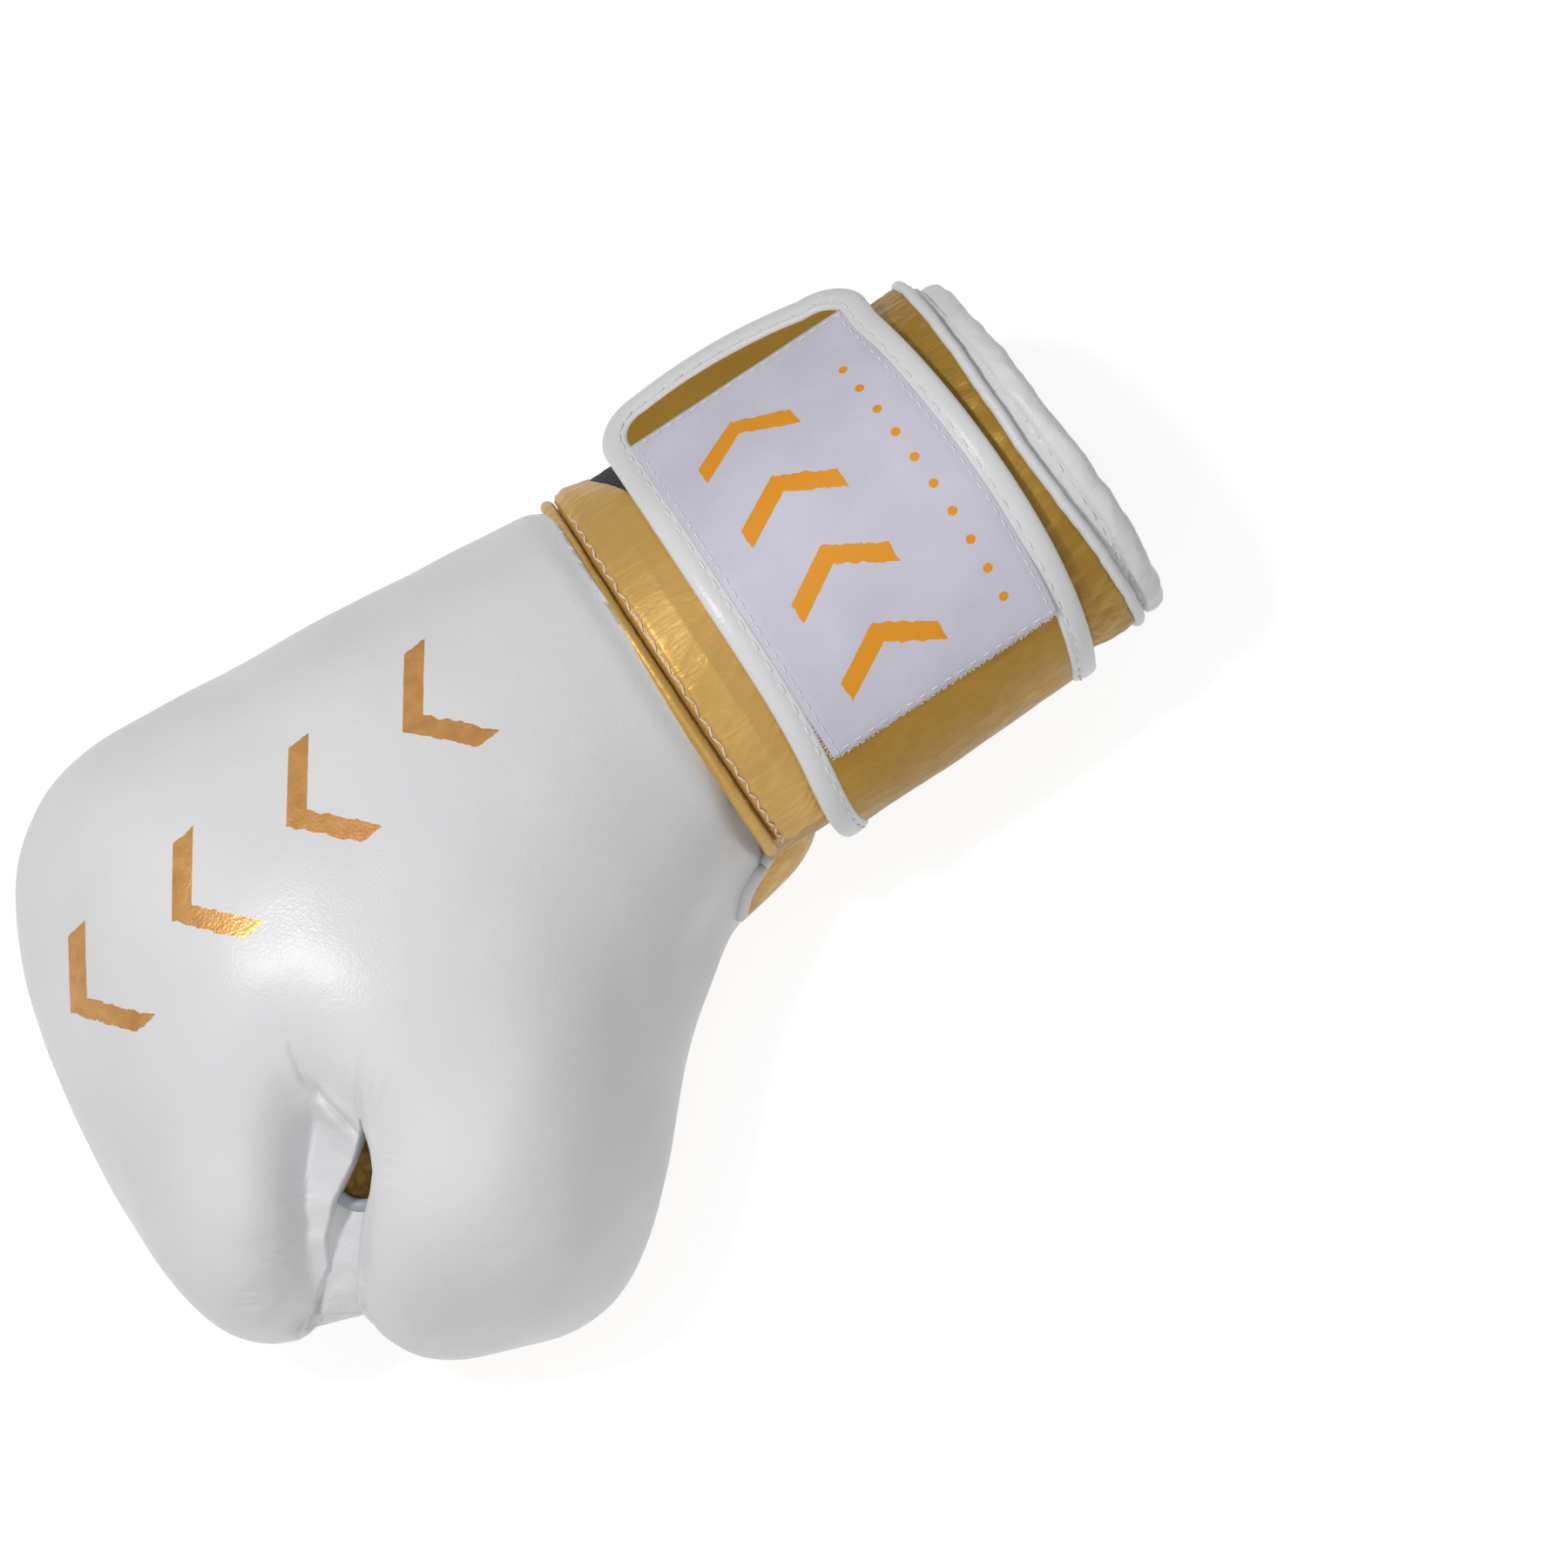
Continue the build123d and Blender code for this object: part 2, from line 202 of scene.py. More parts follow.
def cutSize(bm, width):
    # the flat size of a cloth that lies smooth, from its width and what it covers
    return width * mm, sum(f.calc_area() for f in bm.faces) / width * mm


def giveWall(piece, thickness):
    solid = piece.modifiers.new("wall", "SOLIDIFY")
    solid.thickness = thickness * mm
    solid.offset = -1.0
    solid.use_even_offset = False
    return piece


def layCloth(bm, name, material, width, wall, restsOn, **kept):
    # a stretched cloth or tape: cut to its width, and as long as what it covers needs
    flat = cutSize(bm, width)
    piece = giveWall(makePiece(bm, name, material, **kept), wall)


def once(parts):
    # each part of a mesh one time, in an order that is the same on every run
    return list(dict.fromkeys(parts))


def outward(bm):
    bmesh.ops.recalc_face_normals(bm, faces=bm.faces)
    return bm


def closeEnds(bm):
    bmesh.ops.holes_fill(bm, edges=[e for e in bm.edges if e.is_boundary], sides=0)


def turnOver(bm):
    bmesh.ops.reverse_faces(bm, faces=bm.faces)


def faceUp(bm):
    # turns an open sheet so that it looks up
    bm.normal_update()
    if sum(f.normal.z for f in bm.faces) < 0:
        turnOver(bm)
    return bm


def faceOut(bm):
    # turns an open sheet so that most of its faces look away from the cuff's axis
    bm.normal_update()
    middles = [(f.calc_center_median(), f.normal) for f in bm.faces]
    if sum((middle - Vector((middle.x, 0, 0))).dot(normal) for middle, normal in middles) < 0:
        turnOver(bm)
    return bm


stitchShape = {"width": 0.85, "sides": 8, "rings": 5}


def addStitch(bm, centre, along, up, length, width=stitchShape["width"]):
    # one visible stitch: a short rounded length of thread
    along = along.normalized()
    side = up.cross(along).normalized()
    lift = along.cross(side)
    turn = Matrix((side, lift, along)).transposed().to_4x4()
    size = Matrix.Diagonal((width, width * 0.8, length, 1))
    bmesh.ops.create_uvsphere(
        bm, u_segments=stitchShape["sides"], v_segments=stitchShape["rings"], radius=0.5,
        matrix=Matrix.Translation(centre) @ turn @ size,
    )


def feed(tree, node, inputs):
    # each input gets a plain value or a link from another node
    for key, value in inputs.items():
        if isinstance(value, bpy.types.NodeSocket):
            tree.links.new(value, node.inputs[key])
        else:
            node.inputs[key].default_value = value
    return node


def addNode(tree, kind, inputs=None, **settings):
    node = tree.nodes.new(kind)
    for key, value in settings.items():
        setattr(node, key, value)
    return feed(tree, node, inputs or {})


def maths(tree, operation, a, b=0.0, c=None, clamp=False):
    inputs = {0: a, 1: b}
    if c is not None:
        inputs[2] = c
    return addNode(tree, "ShaderNodeMath", inputs, operation=operation, use_clamp=clamp).outputs[0]


def mixColours(tree, share, a, b):
    node = addNode(tree, "ShaderNodeMix", {0: share, 6: a, 7: b}, data_type="RGBA")
    return node.outputs[2]


def shade(r, g, b):
    # a screen colour, 0 to 255, as the linear value that a shader reads
    def linear(c):
        c = c / 255
        return c / 12.92 if c <= 0.04045 else ((c + 0.055) / 1.055) ** 2.4
    return (linear(r), linear(g), linear(b), 1.0)


def startGroup(name, inputs, outputs):
    tree = bpy.data.node_groups.new(name, "ShaderNodeTree")
    for label, kind, value in inputs:
        item = tree.interface.new_socket(label, in_out="INPUT", socket_type=kind)
        if value is not None:
            item.default_value = value
    for label, kind in outputs:
        tree.interface.new_socket(label, in_out="OUTPUT", socket_type=kind)
    given = tree.nodes.new("NodeGroupInput").outputs[:len(inputs)]
    result = tree.nodes.new("NodeGroupOutput").inputs
    return tree, given, result


floatIn, vectorIn, colourIn = "NodeSocketFloat", "NodeSocketVector", "NodeSocketColor"


def makeGrain():
    # fine pebbled grain of pressed leather
    tree, (place, size, fold), result = startGroup(
        "leatherGrain",
        [("Place", vectorIn, None), ("Size", floatIn, 900.0), ("Fold", floatIn, 0.4)],
        [("Height", floatIn)],
    )
    cells = addNode(tree, "ShaderNodeTexVoronoi", {"Vector": place, "Scale": size, "Smoothness": 0.6},
                    feature="SMOOTH_F1")
    coarse = maths(tree, "MULTIPLY", size, 0.12)
    folds = addNode(tree, "ShaderNodeTexNoise", {"Vector": place, "Scale": coarse, "Detail": 5.0})
    lifted = maths(tree, "MULTIPLY", folds.outputs[0], fold)
    height = maths(tree, "ADD", maths(tree, "MULTIPLY", cells.outputs["Distance"], 0.5), lifted)
    tree.links.new(height, result[0])
    return tree


def makeCreases():
    # long narrow creases that run one way, as in leather that is bent round a form
    tree, (place, stretch, sharpness), result = startGroup(
        "bentCreases",
        [("Place", vectorIn, None), ("Stretch", vectorIn, None), ("Sharpness", floatIn, 6.0)],
        [("Height", floatIn), ("Mask", floatIn)],
    )
    scaled = addNode(tree, "ShaderNodeVectorMath", {0: place, 1: stretch}, operation="MULTIPLY")
    wander = addNode(tree, "ShaderNodeTexNoise", {"Vector": scaled.outputs[0], "Scale": 1.0,
                                                  "Detail": 4.0, "Distortion": 0.6})
    ridge = maths(tree, "ABSOLUTE", maths(tree, "SUBTRACT", wander.outputs[0], 0.5))
    mask = maths(tree, "SUBTRACT", 1.0, maths(tree, "MULTIPLY", ridge, sharpness), clamp=True)
    tree.links.new(maths(tree, "MULTIPLY", mask, -1.0), result[0])
    tree.links.new(mask, result[1])
    return tree


def makeWeave():
    # plain weave: over and under threads on a flat layout
    tree, (place, threads, ratio), result = startGroup(
        "weave",
        [("Place", vectorIn, None), ("Threads", floatIn, 2000.0), ("Float", floatIn, 1.0)],
        [("Height", floatIn), ("Mask", floatIn)],
    )
    split = addNode(tree, "ShaderNodeSeparateXYZ", {0: place})
    u = maths(tree, "MULTIPLY", split.outputs[0], threads)
    v = maths(tree, "MULTIPLY", maths(tree, "MULTIPLY", split.outputs[1], threads), ratio)
    warp = maths(tree, "SINE", maths(tree, "MULTIPLY", u, pi))
    weft = maths(tree, "SINE", maths(tree, "MULTIPLY", v, pi))
    height = maths(tree, "MULTIPLY", warp, weft)
    tree.links.new(height, result[0])
    tree.links.new(maths(tree, "ABSOLUTE", height), result[1])
    return tree


def makeTone():
    # slow drift of tone over a surface: handling, dust and unevenness of the finish
    tree, (place, scale, light, dark), result = startGroup(
        "toneDrift",
        [("Place", vectorIn, None), ("Scale", floatIn, 30.0), ("Light", colourIn, None),
         ("Dark", colourIn, None)],
        [("Colour", colourIn), ("Mask", floatIn)],
    )
    slow = addNode(tree, "ShaderNodeTexNoise", {"Vector": place, "Scale": scale, "Detail": 6.0})
    spread = addNode(tree, "ShaderNodeMapRange", {"Value": slow.outputs[0], 1: 0.35, 2: 0.65})
    tree.links.new(mixColours(tree, spread.outputs[0], light, dark), result[0])
    tree.links.new(spread.outputs[0], result[1])
    return tree


brush = {"fineness": 420.0, "ragged": 0.0013}


def makeStrokes():
    # a row of chevrons as a brush would paint them: even arms with ragged ends
    tree, (place, pitch, count, halfHeight, lean, width), result = startGroup(
        "paintedChevrons",
        [("Place", vectorIn, None), ("Pitch", floatIn, 0.034), ("Count", floatIn, 4.0),
         ("Half height", floatIn, 0.014), ("Lean", floatIn, 0.8), ("Stroke", floatIn, 0.006)],
        [("Mask", floatIn)],
    )
    rough = addNode(tree, "ShaderNodeTexNoise",
                    {"Vector": place, "Scale": brush["fineness"], "Detail": 2.0})
    shift = maths(tree, "MULTIPLY", maths(tree, "SUBTRACT", rough.outputs[0], 0.5), brush["ragged"])
    split = addNode(tree, "ShaderNodeSeparateXYZ", {0: place})
    along = maths(tree, "ADD", split.outputs[0], shift)
    side = maths(tree, "ABSOLUTE", maths(tree, "ADD", split.outputs[1], shift))
    cell = maths(tree, "DIVIDE", maths(tree, "ADD", along, maths(tree, "MULTIPLY", side, lean)), pitch)
    number = maths(tree, "FLOOR", cell)
    inCell = maths(tree, "MULTIPLY", maths(tree, "SUBTRACT", maths(tree, "FRACT", cell), 0.5), pitch)
    reach = maths(tree, "MULTIPLY", width, 0.5)
    stroke = maths(tree, "LESS_THAN", maths(tree, "ABSOLUTE", inCell), reach)
    tall = maths(tree, "LESS_THAN", side, halfHeight)
    first = maths(tree, "GREATER_THAN", number, -0.5)
    last = maths(tree, "LESS_THAN", number, maths(tree, "SUBTRACT", count, 0.5))
    counted = maths(tree, "MULTIPLY", first, last)
    tree.links.new(maths(tree, "MULTIPLY", maths(tree, "MULTIPLY", stroke, tall), counted), result[0])
    return tree


groups = {
    "grain": makeGrain(), "creases": makeCreases(), "weave": makeWeave(), "tone": makeTone(),
    "strokes": makeStrokes(),
}


def useGroup(tree, name, **inputs):
    node = tree.nodes.new("ShaderNodeGroup")
    node.node_tree = groups[name]
    return feed(tree, node, {key.replace("_", " "): value for key, value in inputs.items()}).outputs


def startMaterial(name, uv=False):
    material = bpy.data.materials.new(name)
    material.use_nodes = True
    tree = material.node_tree
    shader = tree.nodes["Principled BSDF"]
    if uv:
        place = addNode(tree, "ShaderNodeUVMap", uv_map="flat").outputs[0]
    else:
        place = addNode(tree, "ShaderNodeTexCoord").outputs["Object"]
    return material, tree, shader, place


def addBump(tree, shader, height, distance, strength=1.0, under=None):
    inputs = {"Height": height, "Distance": distance, "Strength": strength}
    if under is not None:
        inputs["Normal"] = under
    bump = addNode(tree, "ShaderNodeBump", inputs)
    tree.links.new(bump.outputs[0], shader.inputs["Normal"])
    return bump.outputs[0]


def setShader(shader, **values):
    for key, value in values.items():
        shader.inputs[key.replace("_", " ")].default_value = value


white = {
    "light": shade(227, 227, 228), "dark": shade(222, 222, 224), "drift": 28.0, "roughness": 0.33,
    "grain": 1500.0, "grainDepth": 0.0001, "bend": (90.0, 220.0, 220.0),
    "copper": shade(219, 164, 98), "copperDark": shade(203, 145, 84), "copperDrift": 260.0,
    "copperMetal": 0.3, "printStart": 0.146, "printMiddle": -0.0245, "printTurn": radians(-6.5),
    "printAbove": 0.004,  # the row is printed on the back of the hand only
}


def makeWhiteLeather(name, printed=False, bumpy=1.0, tones=None):
    material, tree, shader, place = startMaterial(name)
    light, dark = tones or (white["light"], white["dark"])
    tone = useGroup(tree, "tone", Place=place, Scale=white["drift"], Light=light, Dark=dark)
    grain = useGroup(tree, "grain", Place=place, Size=white["grain"], Fold=0.5)
    creases = useGroup(tree, "creases", Place=place, Stretch=white["bend"], Sharpness=9.0)
    colour = tone[0]
    uneven = addNode(tree, "ShaderNodeMapRange", {"Value": tone[1], 3: white["roughness"] - 0.03,
                                                  4: white["roughness"] + 0.05}).outputs[0]
    if printed:
        turned = addNode(tree, "ShaderNodeMapping", {
            "Vector": place, "Rotation": (backTilt, 0, 0)}, vector_type="POINT")
        moved = addNode(tree, "ShaderNodeMapping", {
            "Vector": turned.outputs[0], "Location": (-white["printStart"], -white["printMiddle"], 0)})
        slanted = addNode(tree, "ShaderNodeMapping", {
            "Vector": moved.outputs[0], "Rotation": (0, 0, white["printTurn"])})
        strokes = useGroup(tree, "strokes", Place=slanted.outputs[0])
        up = addNode(tree, "ShaderNodeSeparateXYZ", {0: place}).outputs[2]
        onBack = maths(tree, "GREATER_THAN", up, white["printAbove"])
        mask = maths(tree, "MULTIPLY", strokes[0], onBack)
        copper = useGroup(tree, "tone", Place=place, Scale=white["copperDrift"], Light=white["copper"],
                          Dark=white["copperDark"])
        colour = mixColours(tree, mask, colour, copper[0])
        uneven = maths(tree, "SUBTRACT", uneven, maths(tree, "MULTIPLY", mask, 0.04))
        metal = maths(tree, "MULTIPLY", mask, white["copperMetal"])
        tree.links.new(metal, shader.inputs["Metallic"])
    tree.links.new(colour, shader.inputs["Base Color"])
    tree.links.new(uneven, shader.inputs["Roughness"])
    soft = addBump(tree, shader, creases[0], 0.00001 + 0.00006 * (bumpy - 1))
    addBump(tree, shader, grain[0], white["grainDepth"] * bumpy, under=soft)
    setShader(shader, Specular_IOR_Level=0.24, Sheen_Weight=0.05, Coat_Weight=0.05, Coat_Roughness=0.22)
    return material


gold = {
    "light": shade(219, 177, 98), "dark": shade(206, 163, 84), "metallic": 0.3, "roughness": 0.38,
    "grain": 1300.0,
}


def makeGoldLeather(name, stretch, crease=1.0, tones=None):
    material, tree, shader, place = startMaterial(name)
    light, dark = tones or (gold["light"], gold["dark"])
    tone = useGroup(tree, "tone", Place=place, Scale=30.0, Light=light, Dark=dark)
    grain = useGroup(tree, "grain", Place=place, Size=gold["grain"], Fold=0.7)
    creases = useGroup(tree, "creases", Place=place, Stretch=stretch, Sharpness=8.0)
    # the gold darkens towards brown along the creases: painted shade in the creases
    creaseShadedColour = mixColours(tree, maths(tree, "MULTIPLY", creases[1], 0.2 * crease), tone[0],
                       shade(132, 92, 34))
    tree.links.new(creaseShadedColour, shader.inputs["Base Color"])
    rough = maths(tree, "ADD", gold["roughness"], maths(tree, "MULTIPLY", creases[1], 0.12))
    tree.links.new(rough, shader.inputs["Roughness"])
    bent = addBump(tree, shader, creases[0], 0.00014 * crease)
    addBump(tree, shader, grain[0], 0.00004, under=bent)
    setShader(shader, Metallic=gold["metallic"])
    return material


satin = {
    "light": shade(211, 209, 222), "dark": shade(203, 201, 215), "threads": 3600.0,
    "orange": shade(238, 158, 14), "orangeDark": shade(228, 144, 8),
    "rowStart": (-0.010, 0.0372, 0),
    "dotPitch": 0.0076, "dotRadius": 0.0011, "dotLine": 0.0095, "dotsFrom": 0.009, "dotsTo": 0.083,
}


def makeSatin():
    # closely woven ribbon with a printed row of chevrons and a row of small marks beside it
    material, tree, shader, place = startMaterial("patchSatin", uv=True)
    tone = useGroup(tree, "tone", Place=place, Scale=60.0, Light=satin["light"], Dark=satin["dark"])
    weave = useGroup(tree, "weave", Place=place, Threads=satin["threads"], Float=0.45)
    turned = addNode(tree, "ShaderNodeMapping", {
        "Vector": place, "Rotation": (0, 0, radians(-90))})
    moved = addNode(tree, "ShaderNodeMapping", {
        "Vector": turned.outputs[0], "Location": satin["rowStart"]})
    large = useGroup(tree, "strokes", Place=moved.outputs[0], Pitch=0.021, Count=4.0,
                     Half_height=0.0125, Lean=0.62, Stroke=0.0052)
    split = addNode(tree, "ShaderNodeSeparateXYZ", {0: place})
    x, y = split.outputs[0], split.outputs[1]
    cell = maths(tree, "FRACT", maths(tree, "DIVIDE", y, satin["dotPitch"]))
    du = maths(tree, "SUBTRACT", x, satin["dotLine"])
    dv = maths(tree, "MULTIPLY", maths(tree, "SUBTRACT", cell, 0.5), satin["dotPitch"])
    near = maths(tree, "SQRT", maths(tree, "ADD", maths(tree, "MULTIPLY", du, du),
                                     maths(tree, "MULTIPLY", dv, dv)))
    dots = maths(tree, "LESS_THAN", near, satin["dotRadius"])
    inside = maths(tree, "MULTIPLY", maths(tree, "GREATER_THAN", y, satin["dotsFrom"]),
                   maths(tree, "LESS_THAN", y, satin["dotsTo"]))
    mask = maths(tree, "MAXIMUM", large[0], maths(tree, "MULTIPLY", dots, inside))
    ink = mixColours(tree, weave[1], satin["orange"], satin["orangeDark"])
    tree.links.new(mixColours(tree, mask, tone[0], ink), shader.inputs["Base Color"])
    addBump(tree, shader, weave[0], 0.00002)
    setShader(shader, Roughness=0.5, Sheen_Weight=0.1, Specular_IOR_Level=0.4)
    return material


def makeFabric(name, light, dark, threads, depth, roughness=0.85, uv=False):
    material, tree, shader, place = startMaterial(name, uv)
    tone = useGroup(tree, "tone", Place=place, Scale=90.0, Light=light, Dark=dark)
    weave = useGroup(tree, "weave", Place=place, Threads=threads, Float=1.0)
    shaded = mixColours(tree, maths(tree, "MULTIPLY", weave[1], 0.35), tone[0], dark)
    tree.links.new(shaded, shader.inputs["Base Color"])
    addBump(tree, shader, weave[0], depth)
    setShader(shader, Roughness=roughness, Sheen_Weight=0.3)
    return material


def makePile(name, light, dark, scale, depth):
    # loops or hooks standing thick on their tape
    material, tree, shader, place = startMaterial(name)
    tone = useGroup(tree, "tone", Place=place, Scale=120.0, Light=light, Dark=dark)
    tufts = addNode(tree, "ShaderNodeTexVoronoi", {"Vector": place, "Scale": scale}, feature="F1")
    # darker away from each tuft's middle, where the bump sinks: painted shade between the tufts
    deep = maths(tree, "MULTIPLY", tufts.outputs["Distance"], 0.8, clamp=True)
    tree.links.new(mixColours(tree, deep, tone[0], dark), shader.inputs["Base Color"])
    addBump(tree, shader, maths(tree, "MULTIPLY", tufts.outputs["Distance"], -1.0), depth)
    setShader(shader, Roughness=0.85, Sheen_Weight=0.1)
    return material


def makeFoam(name, light, dark):
    material, tree, shader, place = startMaterial(name)
    tone = useGroup(tree, "tone", Place=place, Scale=40.0, Light=light, Dark=dark)
    cells = addNode(tree, "ShaderNodeTexVoronoi", {"Vector": place, "Scale": 1500.0})
    wall = cells.outputs["Distance"]
    tree.links.new(mixColours(tree, wall, tone[0], dark), shader.inputs["Base Color"])
    addBump(tree, shader, wall, 0.0003)
    setShader(shader, Roughness=0.9)
    return material


finishes = {
    "back": makeWhiteLeather("backLeather", printed=True),
    "white": makeWhiteLeather("bindingLeather"),
    "roll": makeWhiteLeather("rollLeather", bumpy=1.6),
    "palm": makeGoldLeather("palmLeather", (160.0, 160.0, 300.0), 0.7),
    "band": makeGoldLeather("bandLeather", (60.0, 300.0, 300.0), 0.4),
    "cuff": makeGoldLeather("cuffLeather", (60.0, 260.0, 260.0), 0.8,
                            (shade(182, 141, 52), shade(168, 128, 42))),
    "strap": makeGoldLeather("strapLeather", (110.0, 240.0, 240.0), 0.2,
                             (shade(174, 133, 34), shade(165, 124, 28))),
    # the web's dark tones are painted shade: the palm's gold as it looks deep in the slot
    "web": makeGoldLeather("webLeatherPaintedShade", (260.0, 260.0, 260.0), 1.3,
                           (shade(156, 118, 38), shade(128, 92, 24))),
    "satin": makeSatin(),
    "loop": makePile("loopPile", shade(36, 37, 35), shade(14, 14, 13), 1700.0, 0.0006),
    "hook": makePile("hookTape", shade(70, 71, 70), shade(34, 34, 33), 1100.0, 0.0008),
    "thread": makeFabric("thread", shade(244, 226, 214), shade(226, 200, 186), 2600.0, 0.00005, 0.7),
    "whiteThread": makeFabric("whiteThread", shade(240, 240, 241), shade(228, 228, 230), 2600.0, 0.00005,
                              0.7),
    "lining": makeFabric("liningFabric", shade(60, 60, 62), shade(34, 34, 36), 900.0, 0.0002),
    "elastic": makeFabric("elasticFabric", shade(58, 58, 60), shade(26, 26, 28), 700.0, 0.0004),
    "foam": makeFoam("padFoam", shade(226, 214, 178), shade(196, 180, 140)),
    "tie": makeWhiteLeather("tieLeather", bumpy=2.0),
    # grey tones on white leather: painted shade on the tie's rolled edge
    "fold": makeWhiteLeather("foldedEdgePaintedShade", bumpy=1.5, tones=(shade(176, 180, 188), shade(160, 165, 174))),
}
print("materials made")


hand = {
    "segments": 72,
    "roughVoxel": 3.0,
    "clothVoxel": 4.6,
    "fineVoxel": 1.75,
    "skin": 1.6,
    "pressure": 4.0,
    "travel": 2.5,
    "seamHeight": -24.0,
    "thumbSeamHeight": -35.0,
    "seamStep": 12.0,  # from this far to the thumb's side the seam has its own height
    "seamFront": 260.0,
    "rear": 110.5,
    "cutOff": 97,  # nothing of the shell is kept behind this
    "rootRise": 24.0,  # the seam climbs this much where the thumb's root meets the band
    "rootEnd": 127.0,
}

# Each row: x, then the thumb side, the crest, the little finger's side and the underside as (y, z)
mittRows = [
    (94, (45, 1), (-2, 45), (-49.5, 2), (-2, -41)),
    (106, (45, 1), (-2, 46.5), (-49.5, 2), (-2, -41)),
    (112, (46, 0), (-2, 48), (-50, 2), (-2, -41)),
    (126, (53.5, -6), (-2, 53), (-50.5, 4), (0, -41)),
    (140, (63, -10), (0, 57.5), (-50.5, 5), (5, -42)),
    (155, (74.5, -13), (2, 61), (-51.5, 6), (12, -43.5)),
    (173, (95.5, -16), (5, 64), (-53.5, 7), (20, -46)),
    (187, (108.5, -18), (9, 64.8), (-54.5, 8), (26, -47)),
    (200, (111.5, -19), (13, 65.8), (-55, 8), (28, -48)),
    (210, (108, -19), (16, 66), (-54.5, 8), (26, -48)),
    (218, (96, -17), (18, 64.6), (-49, 8), (20, -46)),
    (223.5, (80, -14), (17, 60.5), (-44, 7), (14, -42)),
    (227, (60, -10), (14, 50), (-36, 6), (6, -34)),
]
# the gold mound under the thumb's root
moundRows = [
    (94, (38, -26), (24, -8), (0, -26), (22, -40)),
    (98, (43, -27), (26, -6), (0, -26), (24, -42)),
    (104, (46.5, -28), (28, -5), (0, -27), (26, -43.5)),
    (112, (48.5, -29), (30, -5), (0, -28), (28, -44.5)),
    (120, (49, -30), (32, -5), (2, -28), (30, -45)),
    (130, (50.5, -31), (34, -6), (4, -29), (34, -46)),
    (142, (56, -32), (38, -8), (8, -30), (38, -46)),
]
fingerRows = [
    (200, (50, 6), (8, 65), (-54, 8), (-2, -48)),
    (215, (54, 8), (10, 65.7), (-55, 8), (-2, -49)),
    (228, (57, 10), (10, 65), (-56.5, 8), (-2, -49)),
    (235, (61, 9), (10, 63.5), (-56.5, 8), (-2, -49)),
    (242, (66.5, 7), (11, 60.5), (-56.5, 6), (0, -49)),
    (246.5, (71.5, 5), (12, 58.5), (-56, 5), (1, -49)),
    (250.5, (77, 2), (13, 56), (-55.5, 3), (3, -49)),
    (257, (81.5, -2), (16, 51), (-53, 0), (8, -48.5)),
    (264, (85.5, -7), (20, 45.5), (-48, -1), (14, -47)),
    (273.5, (82.5, -8), (27, 35.5), (-34, -3), (24, -42)),
    (280.8, (77, -8), (33, 23), (-11, -5), (33, -32)),
    (284.8, (68, -8), (38, 12), (10, -6), (38, -24)),
    (286.6, (56, -9), (40, 3), (26, -7), (40, -15)),
]
thumbRows = [
    (118, (46, -6), (26, 22), (6, -6), (26, -34)),
    (140, (63, -10), (40, 34), (14, -8), (40, -41)),
    (155, (76, -13), (48, 40), (20, -10), (50, -44)),
    (173, (96.5, -16), (58, 48), (27, -12), (63, -47)),
    (187, (109.5, -18), (66, 51), (32, -14), (70, -48)),
    (200, (117, -18), (70, 51), (36, -14), (74, -48)),
    (211, (118, -18), (74, 49), (50, -14), (76, -48)),
    (220, (115.5, -18), (79.5, 46), (60, -16), (79, -48)),
    (228, (111, -19), (84.5, 41), (66, -18), (82, -47)),
    (235, (109.5, -20), (88, 35), (70, -20), (84, -45)),
    (241.5, (106, -21), (91.5, 27), (76.5, -22), (87, -42.5)),
    (247.5, (101, -22), (94.5, 18), (82, -24), (89, -39)),
    (252, (96.5, -23), (94.5, 5), (86, -25), (90, -33)),
]


def fineRows(rows, step=4.0):
    # rows in between, on smooth curves through the given ones
    xs = np.array([r[0] for r in rows], float)
    table = np.array([[c for point in r[1:] for c in point] for r in rows], float)
    slopes = np.gradient(table, xs, axis=0)
    out = []
    for x in np.linspace(xs[0], xs[-1], int((xs[-1] - xs[0]) / step) + 2):
        k = min(len(xs) - 2, int(np.searchsorted(xs, x, side="right")) - 1)
        h = xs[k + 1] - xs[k]
        t = (x - xs[k]) / h
        row = ((1 + 2 * t) * (1 - t) ** 2 * table[k] + t * (1 - t) ** 2 * h * slopes[k]
               + t * t * (3 - 2 * t) * table[k + 1] + t * t * (t - 1) * h * slopes[k + 1])
        out.append((float(x), *[tuple(pair) for pair in row.reshape(4, 2)]))
    return out


def addRing(bm, power, corner, x, thumbSide, crest, littleSide, underside):
    ring = bmesh.ops.create_circle(bm, segments=hand["segments"], radius=1)["verts"]
    for v in ring:
        c, s = v.co.x, v.co.y
        side = thumbSide if c >= 0 else littleSide
        top = crest if s >= 0 else underside
        bend = corner if c > 0 and s > 0 else power
        reach, lift = abs(c) ** (2 / bend), abs(s) ** (2 / bend)
        v.co = (x, top[0] + (side[0] - top[0]) * reach, side[1] + (top[1] - side[1]) * lift)
    return once(e for v in ring for e in v.link_edges)


def addForm(bm, rows, power, corner):
    # power squares the section off; corner does the same for the quarter by the slot
    rings = [addRing(bm, power, corner, *row) for row in fineRows(rows)]
    for one, other in zip(rings, rings[1:]):
        bmesh.ops.bridge_loops(bm, edges=one + other)
    bmesh.ops.contextual_create(bm, geom=rings[0])
    bmesh.ops.contextual_create(bm, geom=rings[-1])


def looseObject(bm, name):
    mesh = bpy.data.meshes.new(name)
    bm.to_mesh(mesh)
    bm.free()
    obj = bpy.data.objects.new(name, mesh)
    scene.collection.objects.link(obj)
    return obj


def takeMesh(obj):
    # the object's mesh with its modifiers applied, as a bmesh; the object goes
    graph = bpy.context.evaluated_depsgraph_get()
    mesh = bpy.data.meshes.new_from_object(obj.evaluated_get(graph))
    bm = bmesh.new()
    bm.from_mesh(mesh)
    old = obj.data
    bpy.data.objects.remove(obj)
    bpy.data.meshes.remove(old)
    bpy.data.meshes.remove(mesh)
    return bm


